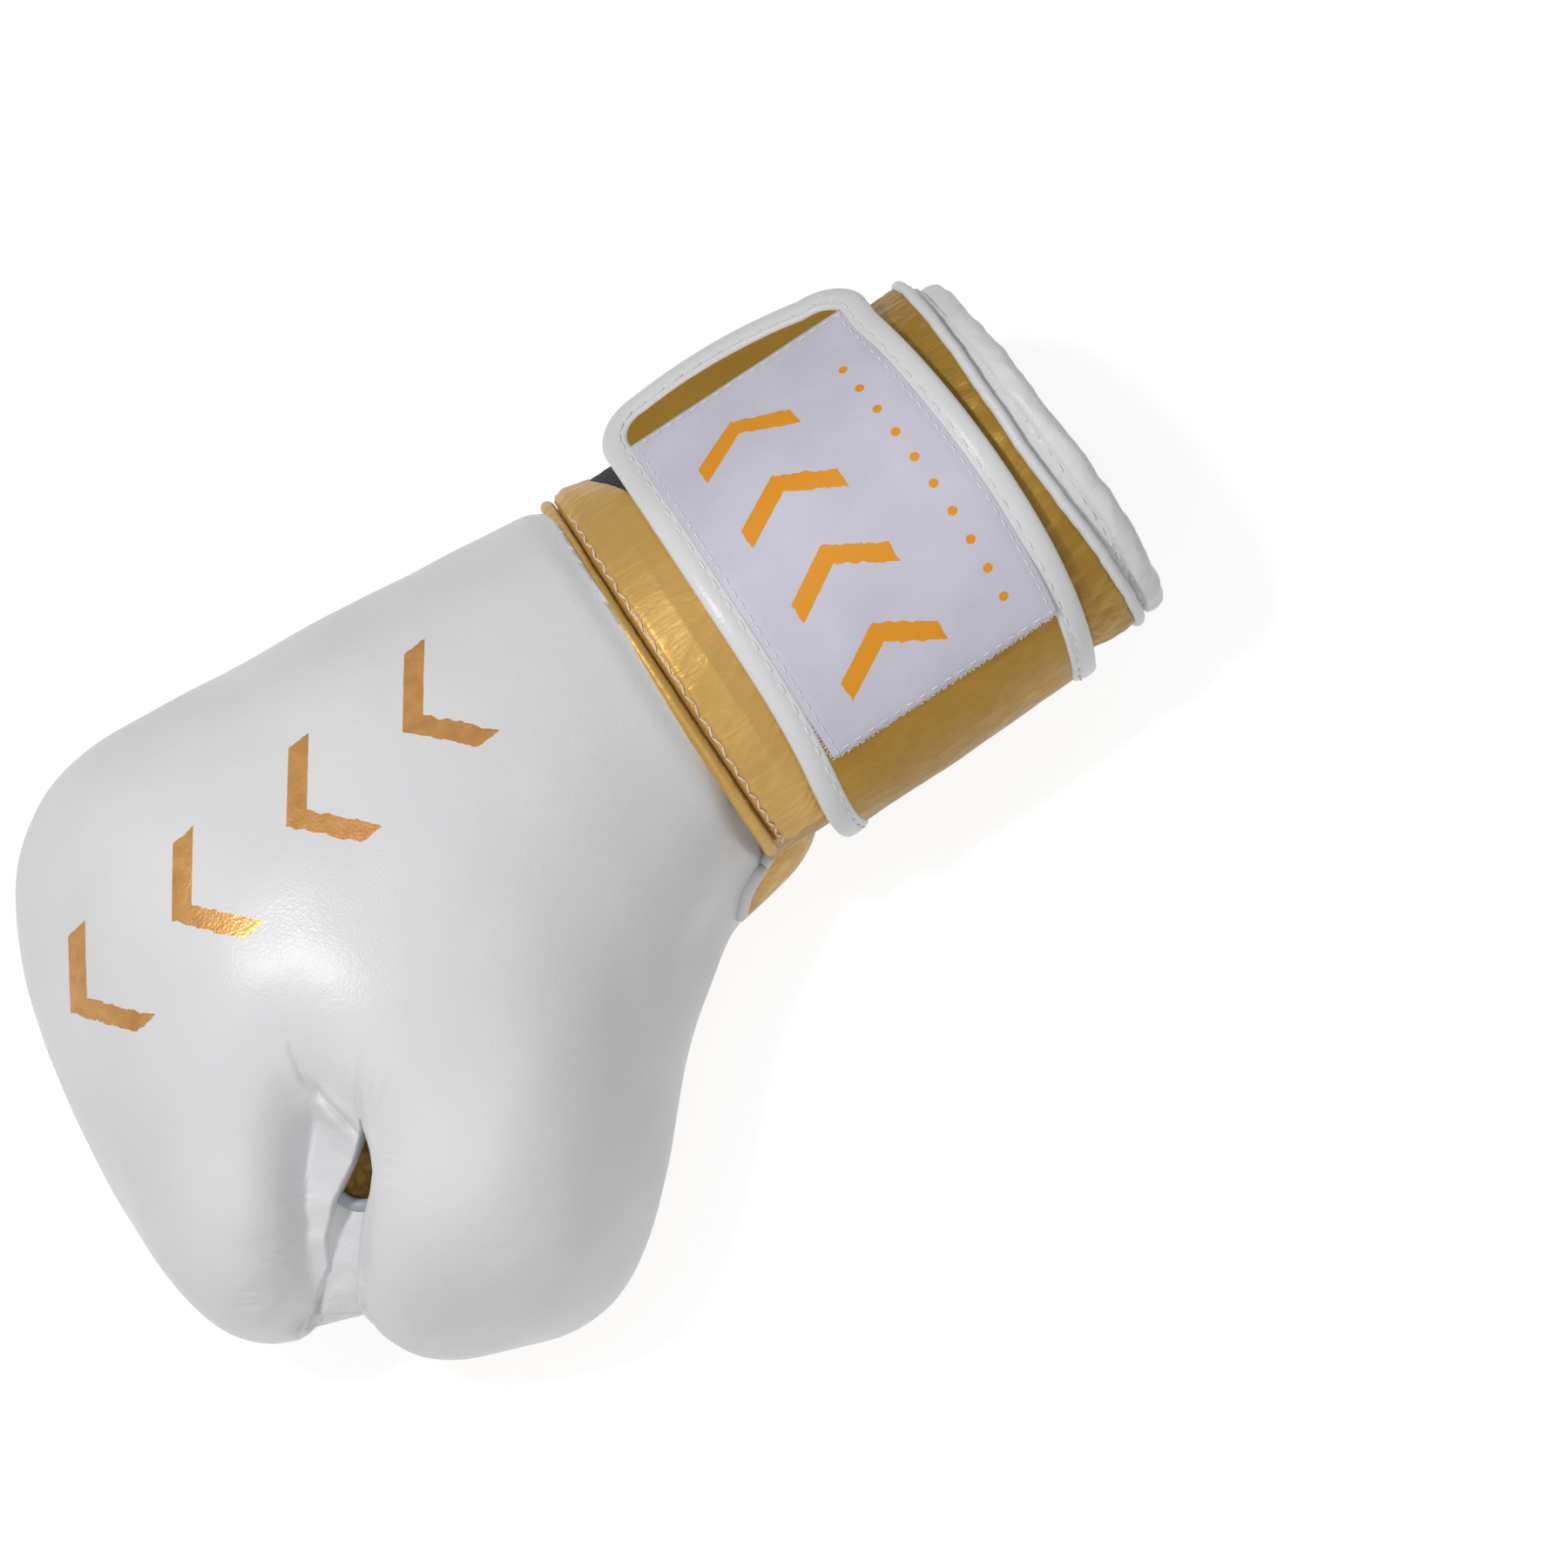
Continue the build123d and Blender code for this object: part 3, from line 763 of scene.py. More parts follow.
def remesh(bm, voxel):
    obj = looseObject(bm, "shape")
    skin = obj.modifiers.new("skin", "REMESH")
    skin.mode = "VOXEL"
    skin.voxel_size = voxel
    return takeMesh(obj)


def smoothVerts(bm, verts, times, factor=0.5):
    for _ in range(times):
        bmesh.ops.smooth_vert(bm, verts=verts, factor=factor, use_axis_x=True, use_axis_y=True,
                              use_axis_z=True)


def smooth(bm, times, factor=0.5, chosen=None):
    smoothVerts(bm, [v for v in bm.verts if chosen is None or chosen(v.co)], times, factor)


feel = {
    "quality": 5, "mass": 0.35, "stiffness": 25, "bending": 2.0, "frames": 20,
    "slot": (226, 57, 0), "slotReach": 12, "cuffReach": 14,  # where the leather is held
}


def inflate(bm):
    # a cloth pass under pressure rounds the padded shell, held at the cuff and in the slot
    rest = [v.co.copy() for v in bm.verts]
    obj = looseObject(bm, "inflated")
    obj.data.transform(Matrix.Scale(mm, 4))
    held = obj.vertex_groups.new(name="held")
    for v in obj.data.vertices:
        p = v.co / mm
        atSlot = bell((p - Vector(feel["slot"])).length, feel["slotReach"])
        weight = max(1 - smoothStep(cuff["end"], cuff["end"] + feel["cuffReach"], p.x), atSlot)
        if weight > 0.02:
            held.add([v.index], weight, "REPLACE")
    cloth = obj.modifiers.new("cloth", "CLOTH")
    settings = cloth.settings
    settings.vertex_group_mass = "held"
    settings.use_pressure = True
    settings.uniform_pressure_force = hand["pressure"]
    settings.quality = feel["quality"]
    settings.mass = feel["mass"]
    settings.tension_stiffness = feel["stiffness"]
    settings.compression_stiffness = feel["stiffness"]
    settings.bending_stiffness = feel["bending"]
    settings.effector_weights.gravity = 0
    cloth.collision_settings.use_collision = False
    cloth.point_cache.frame_start = 1
    cloth.point_cache.frame_end = feel["frames"]
    for step in range(1, feel["frames"] + 1):
        scene.frame_set(step)
    bm = takeMesh(obj)
    scene.frame_set(1)
    for v, start in zip(bm.verts, rest):
        move = v.co / mm - start
        if move.length > hand["travel"]:
            move = move.normalized() * hand["travel"]
        v.co = start + move
    return bm


# Creases that gather into the top of the slot: kind, depth, half width and points as (x, across)
creases = [
    ("fold", 1.9, 0.75, [(226, 14), (229.3, 23), (230.8, 30), (230, 36), (229, 43), (228.2, 49)]),
    ("fold", 1.3, 0.7, [(213, 28), (217.2, 33.3), (220.2, 36.8), (223.9, 41), (226.6, 46), (228, 50)]),
    ("fine", 0.35, 0.6, [(216, 26), (221, 31), (224.5, 37), (227, 44)]),
    ("fine", 0.35, 0.6, [(219, 25), (223.5, 30), (226.5, 36), (228, 42)]),
    ("fine", 0.3, 0.6, [(222, 25), (226, 30), (228.3, 36)]),
    ("fine", 0.5, 0.7, [(212, 35), (217, 38.5), (221.5, 43), (225.5, 48)]),
    ("fine", 0.35, 0.7, [(213, 40), (218, 43), (223, 47.5)]),
    ("fine", 0.32, 0.45, [(219.8, 57), (224, 54.2), (227.8, 52.3)]),
    ("fine", 0.32, 0.45, [(221.5, 58.8), (225.5, 56.4), (228.9, 54.6)]),
    ("fine", 0.28, 0.45, [(223.5, 61.3), (227, 58.8), (230, 57)]),
    ("fine", 0.22, 0.45, [(224.5, 64.5), (228.5, 61.6), (231.4, 59.6)]),
    ("fine", 0.7, 1.1, [(241, 92), (245, 88), (249.5, 83.5)]),
]
# how squarely the leather must face the camera to take a crease: ripples may cross steep leather,
# and the others stay off the slot's walls
creaseFacing = {"fold": (3, 0.6), "fine": (4, 2.4), "ripple": (3, 0)}
creaseEdge = {"rise": 0.3, "at": 2.4, "width": 1.5}  # leather swells beside a crease, in half widths
# Groups of short ripples: the middle as (x, across) and how many lie there
ripple = {"depth": 0.6, "halfWidth": 0.7, "step": (0.548 * 1.8, 0.836 * 1.8), "reach": (3.2, -2.1)}
ripples = [(255.6, 62.1, 4), (268.2, 68.4, 3), (274.4, 72.3, 2), (247, 54, 2)]
for middleX, middleSide, number in ripples:
    for k in range(number):
        x = middleX + ripple["step"][0] * (k - number / 2)
        side = middleSide + ripple["step"][1] * (k - number / 2)
        reachX, reachSide = ripple["reach"]
        path = [(x + reachX, side + reachSide), (x, side), (x - reachX, side - reachSide)]
        creases.append(("ripple", ripple["depth"], ripple["halfWidth"], path))


def segmentDistance(points, a, b):
    d = b - a
    t = np.clip(((points - a) @ d) / (d @ d), 0, 1)
    return np.hypot(*(points - (a + t[:, None] * d)).T), t


slot = {
    "x": (206, 280), "across": (14, 96),  # where the faces are made finer
    "liftX": (213, 270), "liftAcross": (26, 97),  # where the lips may move the leather
    "fadeX": 6, "fadeAcross": 8,
    "thumbLobe": 84,  # further across than this the thumb's own slope stays as it is
    "sunk": 12, "floorX": (226, 244, 256, 266), "floor": (34, 32, 22, 6),
    "rim": 1.2,  # how soon the floor starts inside a lip
    "wall": {"finger": 1.6, "thumb": 1.5}, "meet": {"finger": 4.0, "thumb": 1.6},
    "drop": 26,  # height of a lip's wall
    "nearX": 256, "nearReach": 28, "nearShift": (-3.7, 2.4),
}
unfolding = {"passes": 3, "rounds": 10, "reach": 9, "facing": 0.6, "above": 20, "upTo": 256}
# The two lips of the slot between thumb and fingers: x, across, and height towards the camera
slotTop = [(217, 33, 69.5), (220.2, 36.8, 68.2), (223.9, 41.1, 66.2)]
slotLips = {
    "thumb": slotTop + [(226.2, 46.2, 64.5), (227.8, 51.4, 63), (229.5, 55.6, 62), (232.5, 59.7, 60.5),
                        (237.8, 65.3, 58), (241.5, 70.4, 55.5), (245.5, 76.6, 51.5), (248.4, 81, 47),
                        (249.6, 84.4, 43), (251, 92, 34)],
    "finger": slotTop + [(227, 46.2, 62), (229.6, 48.8, 58.5), (233.4, 52.3, 55), (240.9, 58, 51),
                         (246.5, 64.2, 46.5), (250.1, 70.9, 40.5), (256, 75.5, 34), (260.4, 78.5, 27)],
}


def viewed(bm):
    # every vertex as the camera sees it: place over the hand, height, and how squarely it faces
    bm.normal_update()
    co = np.array([v.co for v in bm.verts])
    normals = np.array([v.normal for v in bm.verts])
    flat = np.stack([co[:, 0], co[:, 1] * cos(backTilt) - co[:, 2] * sin(backTilt)], axis=1)
    height = co[:, 1] * sin(backTilt) + co[:, 2] * cos(backTilt)
    facing = normals[:, 1] * sin(backTilt) + normals[:, 2] * cos(backTilt)
    return flat, height, facing


def inSlotRegion(p):
    (x0, x1), (side0, side1) = slot["x"], slot["across"]
    return x0 < p.x < x1 and side0 < across(p) < side1


def ramp(value, width=1.0):
    return np.clip(value / width, 0, 1)


def sighted(x, side):
    # a place near the slot's top, which stands high, less the shift that the camera's nearness gives it
    share = min(1.0, max(0.0, (slot["nearX"] - x) / slot["nearReach"]))
    return x + slot["nearShift"][0] * share, side + slot["nearShift"][1] * share


def lipDistance(flat, path):
    # distance to a lip, the side that the point lies on, and the lip's height near it
    best = np.full(len(flat), 1e9)
    side = np.zeros(len(flat))
    level = np.zeros(len(flat))
    total = np.zeros(len(flat))
    for a, b in zip(path, path[1:]):
        start, end = np.array(sighted(*a[:2])), np.array(sighted(*b[:2]))
        d, t = segmentDistance(flat, start, end)
        away = flat - start
        turn = (end[0] - start[0]) * away[:, 1] - (end[1] - start[1]) * away[:, 0]
        side = np.where(d < best, np.sign(turn), side)
        best = np.minimum(best, d)
        share = np.hypot(*(end - start)) / (d * d + 3) ** 2
        level += (a[2] + (b[2] - a[2]) * t) * share
        total += share
    return best, side, level / total


def lipHeight(flat, name, ownSide):
    # height that a lip gives each point: nearly level on its own side, a wall on the slot's side
    best, side, level = lipDistance(flat, slotLips[name])
    wall = ramp(best, slot["wall"][name])
    wall = wall * wall * (3 - 2 * wall)
    fall = 0.015 * best ** 2 + 1.2 * np.clip(best - 8, 0, None)
    return level - np.where(side * ownSide > 0, fall, slot["drop"] * wall)


def softMaximum(a, b, width):
    share = np.clip(0.5 + 0.5 * (a - b) / width, 0, 1)
    return b + (a - b) * share + width * share * (1 - share)


def liftVerts(bm, lift):
    # moves each vertex towards the camera
    for v, p in zip(bm.verts, lift):
        if abs(p) > 0.01:
            v.co += seenPoint(0, 0, p)


def raiseLips(bm):
    # builds the slot's two lips up to their full height, with walls down to its floor
    flat, height, facing = viewed(bm)
    x, side = flat.T
    # beside the fingers steep leather is lifted in full, on the thumb's lobe less
    facing = ramp(facing * (2.5 + 5.5 * ramp(slot["thumbLobe"] - side, slot["fadeAcross"])))
    near = ramp(x - slot["liftX"][0], slot["fadeX"]) * ramp(slot["liftX"][1] - x, slot["fadeX"])
    near *= (ramp(side - slot["liftAcross"][0], slot["fadeAcross"])
             * ramp(slot["liftAcross"][1] - side, slot["fadeAcross"]))
    ownSides = {"thumb": 1, "finger": -1}
    opening = 1
    for name, ownSide in ownSides.items():
        best, onSide, _ = lipDistance(flat, slotLips[name])
        opening = opening * ramp(-onSide * ownSide * best, slot["rim"])
    deep = np.interp(x, slot["floorX"], slot["floor"])
    raised = height + (np.minimum(height - slot["sunk"], deep) - height) * opening
    for name in ("finger", "thumb"):
        raised = softMaximum(raised, lipHeight(flat, name, ownSides[name]), slot["meet"][name])
    liftVerts(bm, (raised - height) * facing * near)


def unfold(bm):
    # turns the slot's folded walls into slopes, on which the lips can be raised evenly
    for _ in range(unfolding["passes"]):
        flat, height, facing = viewed(bm)
        best, _, _ = lipDistance(flat, slotLips["thumb"])
        chosen = (best < unfolding["reach"]) & (facing < unfolding["facing"])
        chosen &= (height > unfolding["above"]) & (flat[:, 0] < unfolding["upTo"])
        smoothVerts(bm, [v for v, kept in zip(bm.verts, chosen) if kept], unfolding["rounds"])


def carve(bm):
    # presses the creases into the shell where it faces the back of the hand
    flat, _, facing = viewed(bm)
    push = np.zeros(len(flat))
    for kind, depth, halfWidth, points in creases:
        path = [np.array(sighted(*p)) for p in points]
        best = np.full(len(flat), 1e9)
        share = np.zeros(len(flat))
        for k, (a, b) in enumerate(zip(path, path[1:])):
            d, t = segmentDistance(flat, a, b)
            nearer = d < best
            best = np.where(nearer, d, best)
            share = np.where(nearer, (k + t) / (len(path) - 1), share)
        steepness, start = creaseFacing[kind]
        fade = np.sin(pi * share) if kind == "ripple" else ramp(share * 1.6)
        fade *= ramp(facing * steepness - start)
        push -= depth * fade * np.exp(-(best / halfWidth) ** 1.2)
        away = (best - creaseEdge["at"] * halfWidth) / (creaseEdge["width"] * halfWidth)
        push += creaseEdge["rise"] * depth * fade * np.exp(-away ** 2)
    liftVerts(bm, push)


def refine(bm):
    # finer faces round the slot, where the creases are narrow
    for _ in range(2):
        bm.normal_update()
        faces = [f for f in bm.faces if f.normal.z > -0.2 and inSlotRegion(f.calc_center_median())]
        edges = once(e for f in faces for e in f.edges)
        bmesh.ops.subdivide_edges(bm, edges=edges, cuts=1, use_grid_fill=True)
        smooth(bm, 3, 0.5, chosen=inSlotRegion)


def seamAt(x, y):
    # height of the seam between the back panel and the palm panel
    if y < hand["seamStep"]:
        return hand["seamHeight"]
    climb = (hand["rootEnd"] - x) / (hand["rootEnd"] - hand["rear"])
    return hand["thumbSeamHeight"] + hand["rootRise"] * min(1.0, max(0.0, climb))


def seamDistance(p):
    return p.z - seamAt(p.x, p.y)


def dent(bm):
    # slow unevenness of a stuffed shell, the sunk seam, and the flat it rests on
    bm.normal_update()
    for v in bm.verts:
        p = v.co.copy()
        push = 0.55 * wave(p, 0.028, 3.0) + 0.22 * wave(p, 0.07, 9.0)
        seam = abs(seamDistance(p)) if p.x < hand["seamFront"] else 99.0
        if p.z < hand["seamHeight"] + 4:
            seam = min(seam, abs(p.x - hand["seamFront"]))
        push -= 1.1 * bell(seam, 2.2)
        mound = smoothStep(-14, -22, p.z) * smoothStep(14, 24, p.y) if p.z < -14 else 0
        tuck = 1 - smoothStep(cuff["end"] - 2, cuff["end"] + 7, p.x)
        push -= 2.2 * tuck * tuck * (1 - mound)
        v.co = p + v.normal * push
        if v.co.z < floorHeight + 0.1:
            v.co.z = floorHeight + 0.1


def makeShell():
    bm = bmesh.new()
    for rows, power, corner in ((mittRows, 2.35, 2.35), (moundRows, 2.35, 2.35), (fingerRows, 2.75, 3.6),
                                (thumbRows, 2.35, 2.35)):
        addForm(bm, rows, power, corner)
    outward(bm)
    bm = remesh(bm, hand["roughVoxel"])
    smooth(bm, 10)
    print("hand body joined:", len(bm.verts))
    bm = remesh(bm, hand["clothVoxel"])
    bm = inflate(bm)
    print("hand body inflated:", len(bm.verts))
    smooth(bm, 2)
    obj = looseObject(bm, "shape")
    rounder = obj.modifiers.new("rounder", "SUBSURF")
    rounder.levels = 1
    rounder.render_levels = 1
    bm = remesh(takeMesh(obj), hand["fineVoxel"])
    smooth(bm, 4)
    dent(bm)
    unfold(bm)
    refine(bm)
    raiseLips(bm)
    smooth(bm, 2, 0.4, chosen=inSlotRegion)
    carve(bm)
    smooth(bm, 1, 0.3)
    print("hand body creased:", len(bm.verts))
    return bm


def cutSeams(bm):
    # edges along both seams and at the cuff, so that the panels part cleanly
    def cut(test, place, direction, **kept):
        faces = [f for f in bm.faces if test(f.calc_center_median())]
        edges = once(e for f in faces for e in f.edges)
        verts = once(v for f in faces for v in f.verts)
        bmesh.ops.bisect_plane(bm, geom=faces + edges + verts, dist=0.001, plane_co=place,
                               plane_no=direction, **kept)

    back, rootEnd, front, step = hand["rear"], hand["rootEnd"], hand["seamFront"], hand["seamStep"]
    ahead = (1, 0, 0)
    cut(lambda c: True, (hand["cutOff"], 0, 0), ahead, clear_inner=True)
    cut(lambda c: c.x < rootEnd + 3, (back, 0, 0), ahead)
    cut(lambda c: True, (front, 0, 0), ahead)
    thumbSeam = hand["thumbSeamHeight"]
    top = thumbSeam + hand["rootRise"]
    fall = hand["rootRise"] / (rootEnd - back)
    seams = [
        (lambda c: c.y < step and c.x < front, hand["seamHeight"], 0.0),
        (lambda c: c.y > step and rootEnd - 2 < c.x < front, thumbSeam, 0.0),
        (lambda c: c.y > step and c.x < back + 1, top, 0.0),
        (lambda c: c.y > step and back - 1 < c.x < rootEnd + 1, top, fall),
    ]
    for test, height, lean in seams:
        cut(test, (back, 0, height), Vector((lean, 0, 1)).normalized())


def isPalm(centre):
    return seamDistance(centre) < 0 and centre.x < hand["seamFront"]


def underBand(centre):
    # behind the hand's edge only what is beside the thumb's root shows
    return centre.x < hand["rear"] and (centre.z > 8 or centre.y < 12)


def deleteFaces(bm, test):
    bmesh.ops.delete(bm, geom=[f for f in bm.faces if test(f.calc_center_median())], context="FACES")


shell = makeShell()
cutSeams(shell)
deleteFaces(shell, underBand)
palmShell = shell.copy()
deleteFaces(shell, isPalm)
deleteFaces(palmShell, lambda centre: not isPalm(centre))
skinTree = BVHTree.FromBMesh(shell)
palmTree = BVHTree.FromBMesh(palmShell)
backPiece = makePiece(shell, "back_leather", finishes["back"], nodes=["back_panel"],
                      slotName="white_leather")
palmPiece = makePiece(palmShell, "palm_leather", finishes["palm"], nodes=["palm_panel"],
                      slotName="gold_leather")
for piece in (backPiece, palmPiece):
    giveWall(piece, hand["skin"])
print("panels parted")


padding = {"voxel": 2.0, "clearance": 1.2, "rounds": 3, "near": 9}
padNodes = ["pad_outer_layer", "pad_middle_layer", "pad_inner_layer", "knuckle_pad", "palm_foam",
            "thumb_foam"]


def copyOfNode(name):
    bm = bmesh.new()
    bm.from_mesh(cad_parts[name].data)
    bmesh.ops.scale(bm, vec=(1 / mm,) * 3, verts=bm.verts)
    bmesh.ops.remove_doubles(bm, verts=bm.verts, dist=0.01)
    return bm


def keepInside(bm, depth):
    # foam stays this far under the leather
    for v in bm.verts:
        for tree in (skinTree, palmTree):
            spot, normal, _, distance = tree.find_nearest(v.co)
            if spot is None or distance > padding["near"]:
                continue
            out = (v.co - spot).dot(normal)
            if out > -depth:
                v.co -= normal * (out + depth)


for name in padNodes:
    bm = remesh(copyOfNode(name), padding["voxel"])
    smooth(bm, padding["rounds"])
    keepInside(bm, hand["skin"] + padding["clearance"])
    smooth(bm, 1)
    piece = makePiece(bm, name + "_foam", finishes["foam"], nodes=[name], slotName="pad_foam")
print("padding made")


rear = {
    "wrinkle": 0.6, "columns": 96, "rows": 300, "slitHalfAngle": 9.2, "pipingAt": 9.2, "pipingSwing": 2.0,
    "pipingRadius": 1.45, "liningDepth": 9.6,
}


def cuffRelief(x, angle):
    # gathers along the rear edge, dying out under the strap
    edge = 1 - smoothStep(12, 30, x)
    p = cuffPoint(x, angle)
    gather = wave((x * 0.12 + angle * 0.08, angle * 0.28, 0), 1.0, 2.0)
    gather += 0.35 * wave((x * 0.3, angle * 0.7, 4), 1.0, 5.0)
    slanted = 0.7 * bell(angle - 8, 22) * wave((x * 0.5 + angle * 0.42, x * 0.06, 2), 1.0, 7.0)
    pressed = 1.9 * smoothStep(16, 24, x) * (1 - smoothStep(40, 66, x)) * bell(angle - 2, 30)
    return edge * (rear["wrinkle"] * gather + slanted) + 0.12 * wave(p, 0.12, 1.0) - pressed


def pipingPlace(angle):
    # the piping leaves the roll over the back of the hand and meets it again at both sides
    swing = rear["pipingSwing"] * bell(angle - 70, 36)
    sway = 0.45 * wave((angle * 0.06, 0, 0), 1.0, 6.0) + 0.2 * wave((angle * 0.3, 0, 0), 1.0, 9.0)
    return rear["pipingAt"] + swing + sway - openingLean(angle)


def makeCuffLeather():
    first, last = -90 + rear["slitHalfAngle"], 270 - rear["slitHalfAngle"]
    x1 = cuff["end"]

    def place(u, v):
        angle = first + (last - first) * v
        start = pipingPlace(angle) - 0.8
        x = start + (x1 - start) * u
        dip = 1.2 * bell(x - start, 1.4)
        return cuffPoint(x, angle, -0.05 + cuffRelief(x, angle) - dip)

    bm = faceOut(shapedGrid(rear["columns"], rear["rows"], place))
    piece = makePiece(bm, "cuff_leather", finishes["cuff"], nodes=["cuff_outer"], slotName="gold_leather")
    return giveWall(piece, 1.2)


def openingLean(angle):
    # the wrist opening reaches further back on the thumb's side
    return 2.0 * cos(radians(angle))


roll = {"at": 4.1, "halfLength": 3.9, "halfThick": 4.7, "middle": -4.7, "around": 420, "profile": 44}
rollThread = {"girth": 292, "step": 4.6, "length": 2.4, "width": 0.7}


def makeRoll():
    # padded roll round the wrist opening, pulled into puckers by its stitching
    def place(u, v):
        angle, t = 360 * u, 2 * pi * v
        ca, sa = cos(radians(angle)), sin(radians(angle))
        spot = (3.2 * ca, 3.2 * sa, 0.35 * cos(t))
        pucker = 0.7 * abs(wave(spot, 1.6, 3.0)) + 0.3 * abs(wave(spot, 4.0, 8.0))
        drift = 1.1 * wave((ca, sa, 0), 1.9, 4.0) - openingLean(angle)
        c, s = cos(t), sin(t)
        reach = squareOff(c, 0.8)
        lift = squareOff(s, 0.8)
        swell = 1.0 - 0.26 * pucker
        outerFace = max(0.0, s)
        groove = 0.9 * bell(c - 0.62, 0.12) * outerFace
        x = roll["at"] + roll["halfLength"] * reach * swell + drift
        sink = 4.0 * max(0.0, -ca)
        return cuffPoint(x, angle, roll["middle"] - sink + roll["halfThick"] * lift * swell - groove)

    def weltPlace(u, v):
        angle = 360 * v
        first = roll["at"] + 0.5 * roll["halfLength"] - openingLean(angle)
        x = first + (pipingPlace(angle) + 0.8 - first) * u
        crumple = 0.3 * wave((x * 0.5, angle * 0.2, 0), 1.0, 3.0)
        return cuffPoint(x, angle, -1.9 + crumple - 1.0 * max(0.0, -cos(radians(angle))) * (1 - u))

    bm = outward(shapedGrid(roll["around"], roll["profile"], place))
    piece = makePiece(bm, "opening_roll", finishes["roll"], nodes=["cuff_edge_roll"],
                      slotName="white_leather")
    bm = outward(shapedGrid(8, 300, weltPlace))
    piece = makePiece(faceOut(bm), "opening_welt", finishes["roll"], nodes=["cuff_edge_roll"],
                      slotName="white_leather")
    giveWall(piece, 0.7)
    bm = bmesh.new()
    count = int(rollThread["girth"] / rollThread["step"])
    for k in range(count):
        angle = 360 * (k + 0.5) / count
        along = roll["at"] + roll["halfLength"] * 0.68 - openingLean(angle)
        sink = 4.0 * max(0.0, -cos(radians(angle)))
        centre = cuffPoint(along, angle, roll["middle"] - sink + roll["halfThick"] * 0.66)
        ahead = cuffPoint(0, angle + 1) - cuffPoint(0, angle - 1)
        addStitch(bm, centre, ahead, aboveCuff(angle), rollThread["length"], rollThread["width"])
    makePiece(bm, "roll_thread", finishes["whiteThread"], slotName="thread")


def sweepTube(name, centreAt, count, radius, material, **kept):
    # a round cord of leather laid along a line given by a rule
    def place(u, v):
        here = centreAt(u)
        step = 0.5 / count
        tangent = (centreAt(min(1.0, u + step)) - centreAt(max(0.0, u - step))).normalized()
        side = tangent.cross(Vector((1, 0, 0)))
        if side.length < 0.2:
            side = tangent.cross(Vector((0, 0, 1)))
        side.normalize()
        other = tangent.cross(side)
        t = 2 * pi * v
        taper = min(1.0, 0.05 + sqrt(max(0.0, min(u, 1 - u) * count / 3)))
        return here + (side * cos(t) + other * sin(t)) * (radius * taper)

    bm = outward(shapedGrid(count, 10, place))
    closeEnds(bm)
    return makePiece(bm, name, material, **kept)


def makeRearPiping():
    limit = rear["slitHalfAngle"]

    def centreAt(u):
        angle = -90 + limit + (360 - 2 * limit) * u
        puff = 0.3 * wave((angle * 0.5, 3, 0), 1.0, 4.0)
        return cuffPoint(pipingPlace(angle), angle, -0.2 + puff)

    sweepTube("rear_piping", centreAt, 260, rear["pipingRadius"], finishes["white"],
              nodes=["cuff_outer_binding"], slotName="binding_leather")


cuffInside = {
    "liningFrom": 3.0, "liningPast": 2, "foamMiddle": -5.4, "foamHalfThick": 3.3,
    "gussetLength": 84, "gussetWidth": 18, "gussetDepth": -8.4, "ribs": 20, "ribHeight": 0.28,
}


def makeCuffInside():
    start = cuffInside["liningFrom"]
    around, length = 228.0, cuff["end"] + cuffInside["liningPast"] - start

    def liningPlace(u, v):
        x, angle = start + length * u, 360 * v
        p = cuffPoint(x, angle)
        return cuffPoint(x, angle, -rear["liningDepth"] + 0.35 * wave(p, 0.08, 2.0))

    bm = outward(shapedGrid(60, 180, liningPlace, flat=lambda u, v: (u * length, v * around)))
    layCloth(bm, "cuff_lining_cloth", finishes["lining"], length, 0.5, "cuff_padding",
             nodes=["cuff_lining"], slotName="lining_fabric")

    def foamPlace(u, v):
        limit = rear["slitHalfAngle"] + 1.5
        angle, t = -90 + limit + (360 - 2 * limit) * u, 2 * pi * v
        middle, reach = (rollFront + cuff["end"]) / 2, (cuff["end"] - rollFront - 1) / 2
        x = middle + reach * squareOff(cos(t), 0.2)
        height = cuffInside["foamMiddle"] + cuffInside["foamHalfThick"] * squareOff(sin(t), 0.4)
        return cuffPoint(x, angle, height)

    bm = outward(shapedGrid(150, 40, foamPlace))
    closeEnds(bm)
    piece = makePiece(bm, "cuff_padding", finishes["foam"], nodes=["cuff_foam"], slotName="pad_foam")

    limit = rear["slitHalfAngle"] + 1.0
    long, wide = cuffInside["gussetLength"], cuffInside["gussetWidth"]

    def gussetPlace(u, v):
        x, angle = rollFront - 1 + long * u, -90 - limit + 2 * limit * v
        rib = cuffInside["ribHeight"] * cos(2 * pi * cuffInside["ribs"] * v)
        return cuffPoint(x, angle, cuffInside["gussetDepth"] + rib)

    bm = faceOut(shapedGrid(60, 160, gussetPlace, flat=lambda u, v: (u * long, v * wide)))
    piece = makePiece(bm, "gusset_elastic", finishes["elastic"], nodes=["cuff_gusset"],
                      slotName="elastic_fabric")
    giveWall(piece, 0.7)


makeCuffLeather()
makeRoll()
makeRearPiping()
makeCuffInside()
print("cuff made")


band = {
    "first": 4.0, "last": 188.0, "crown": 1.9, "foldAt": 108.6, "lipMiddle": 110.6, "lipRadius": 1.75,
    "stitchAt": 107.1, "stitchStep": 2.7, "zigzag": 0.5,
}


def bandRelief(x, angle):
    p = (x * 0.12, angle * 0.5, 0)
    thumbEnd = 1 - smoothStep(-8, 45, angle)
    slanted = wave((x * 0.35 + angle * 0.5, x * 0.08, 1), 1.0, 7.0)
    return 0.12 * wave(p, 0.6, 3.0) + (0.06 + 0.42 * thumbEnd) * slanted


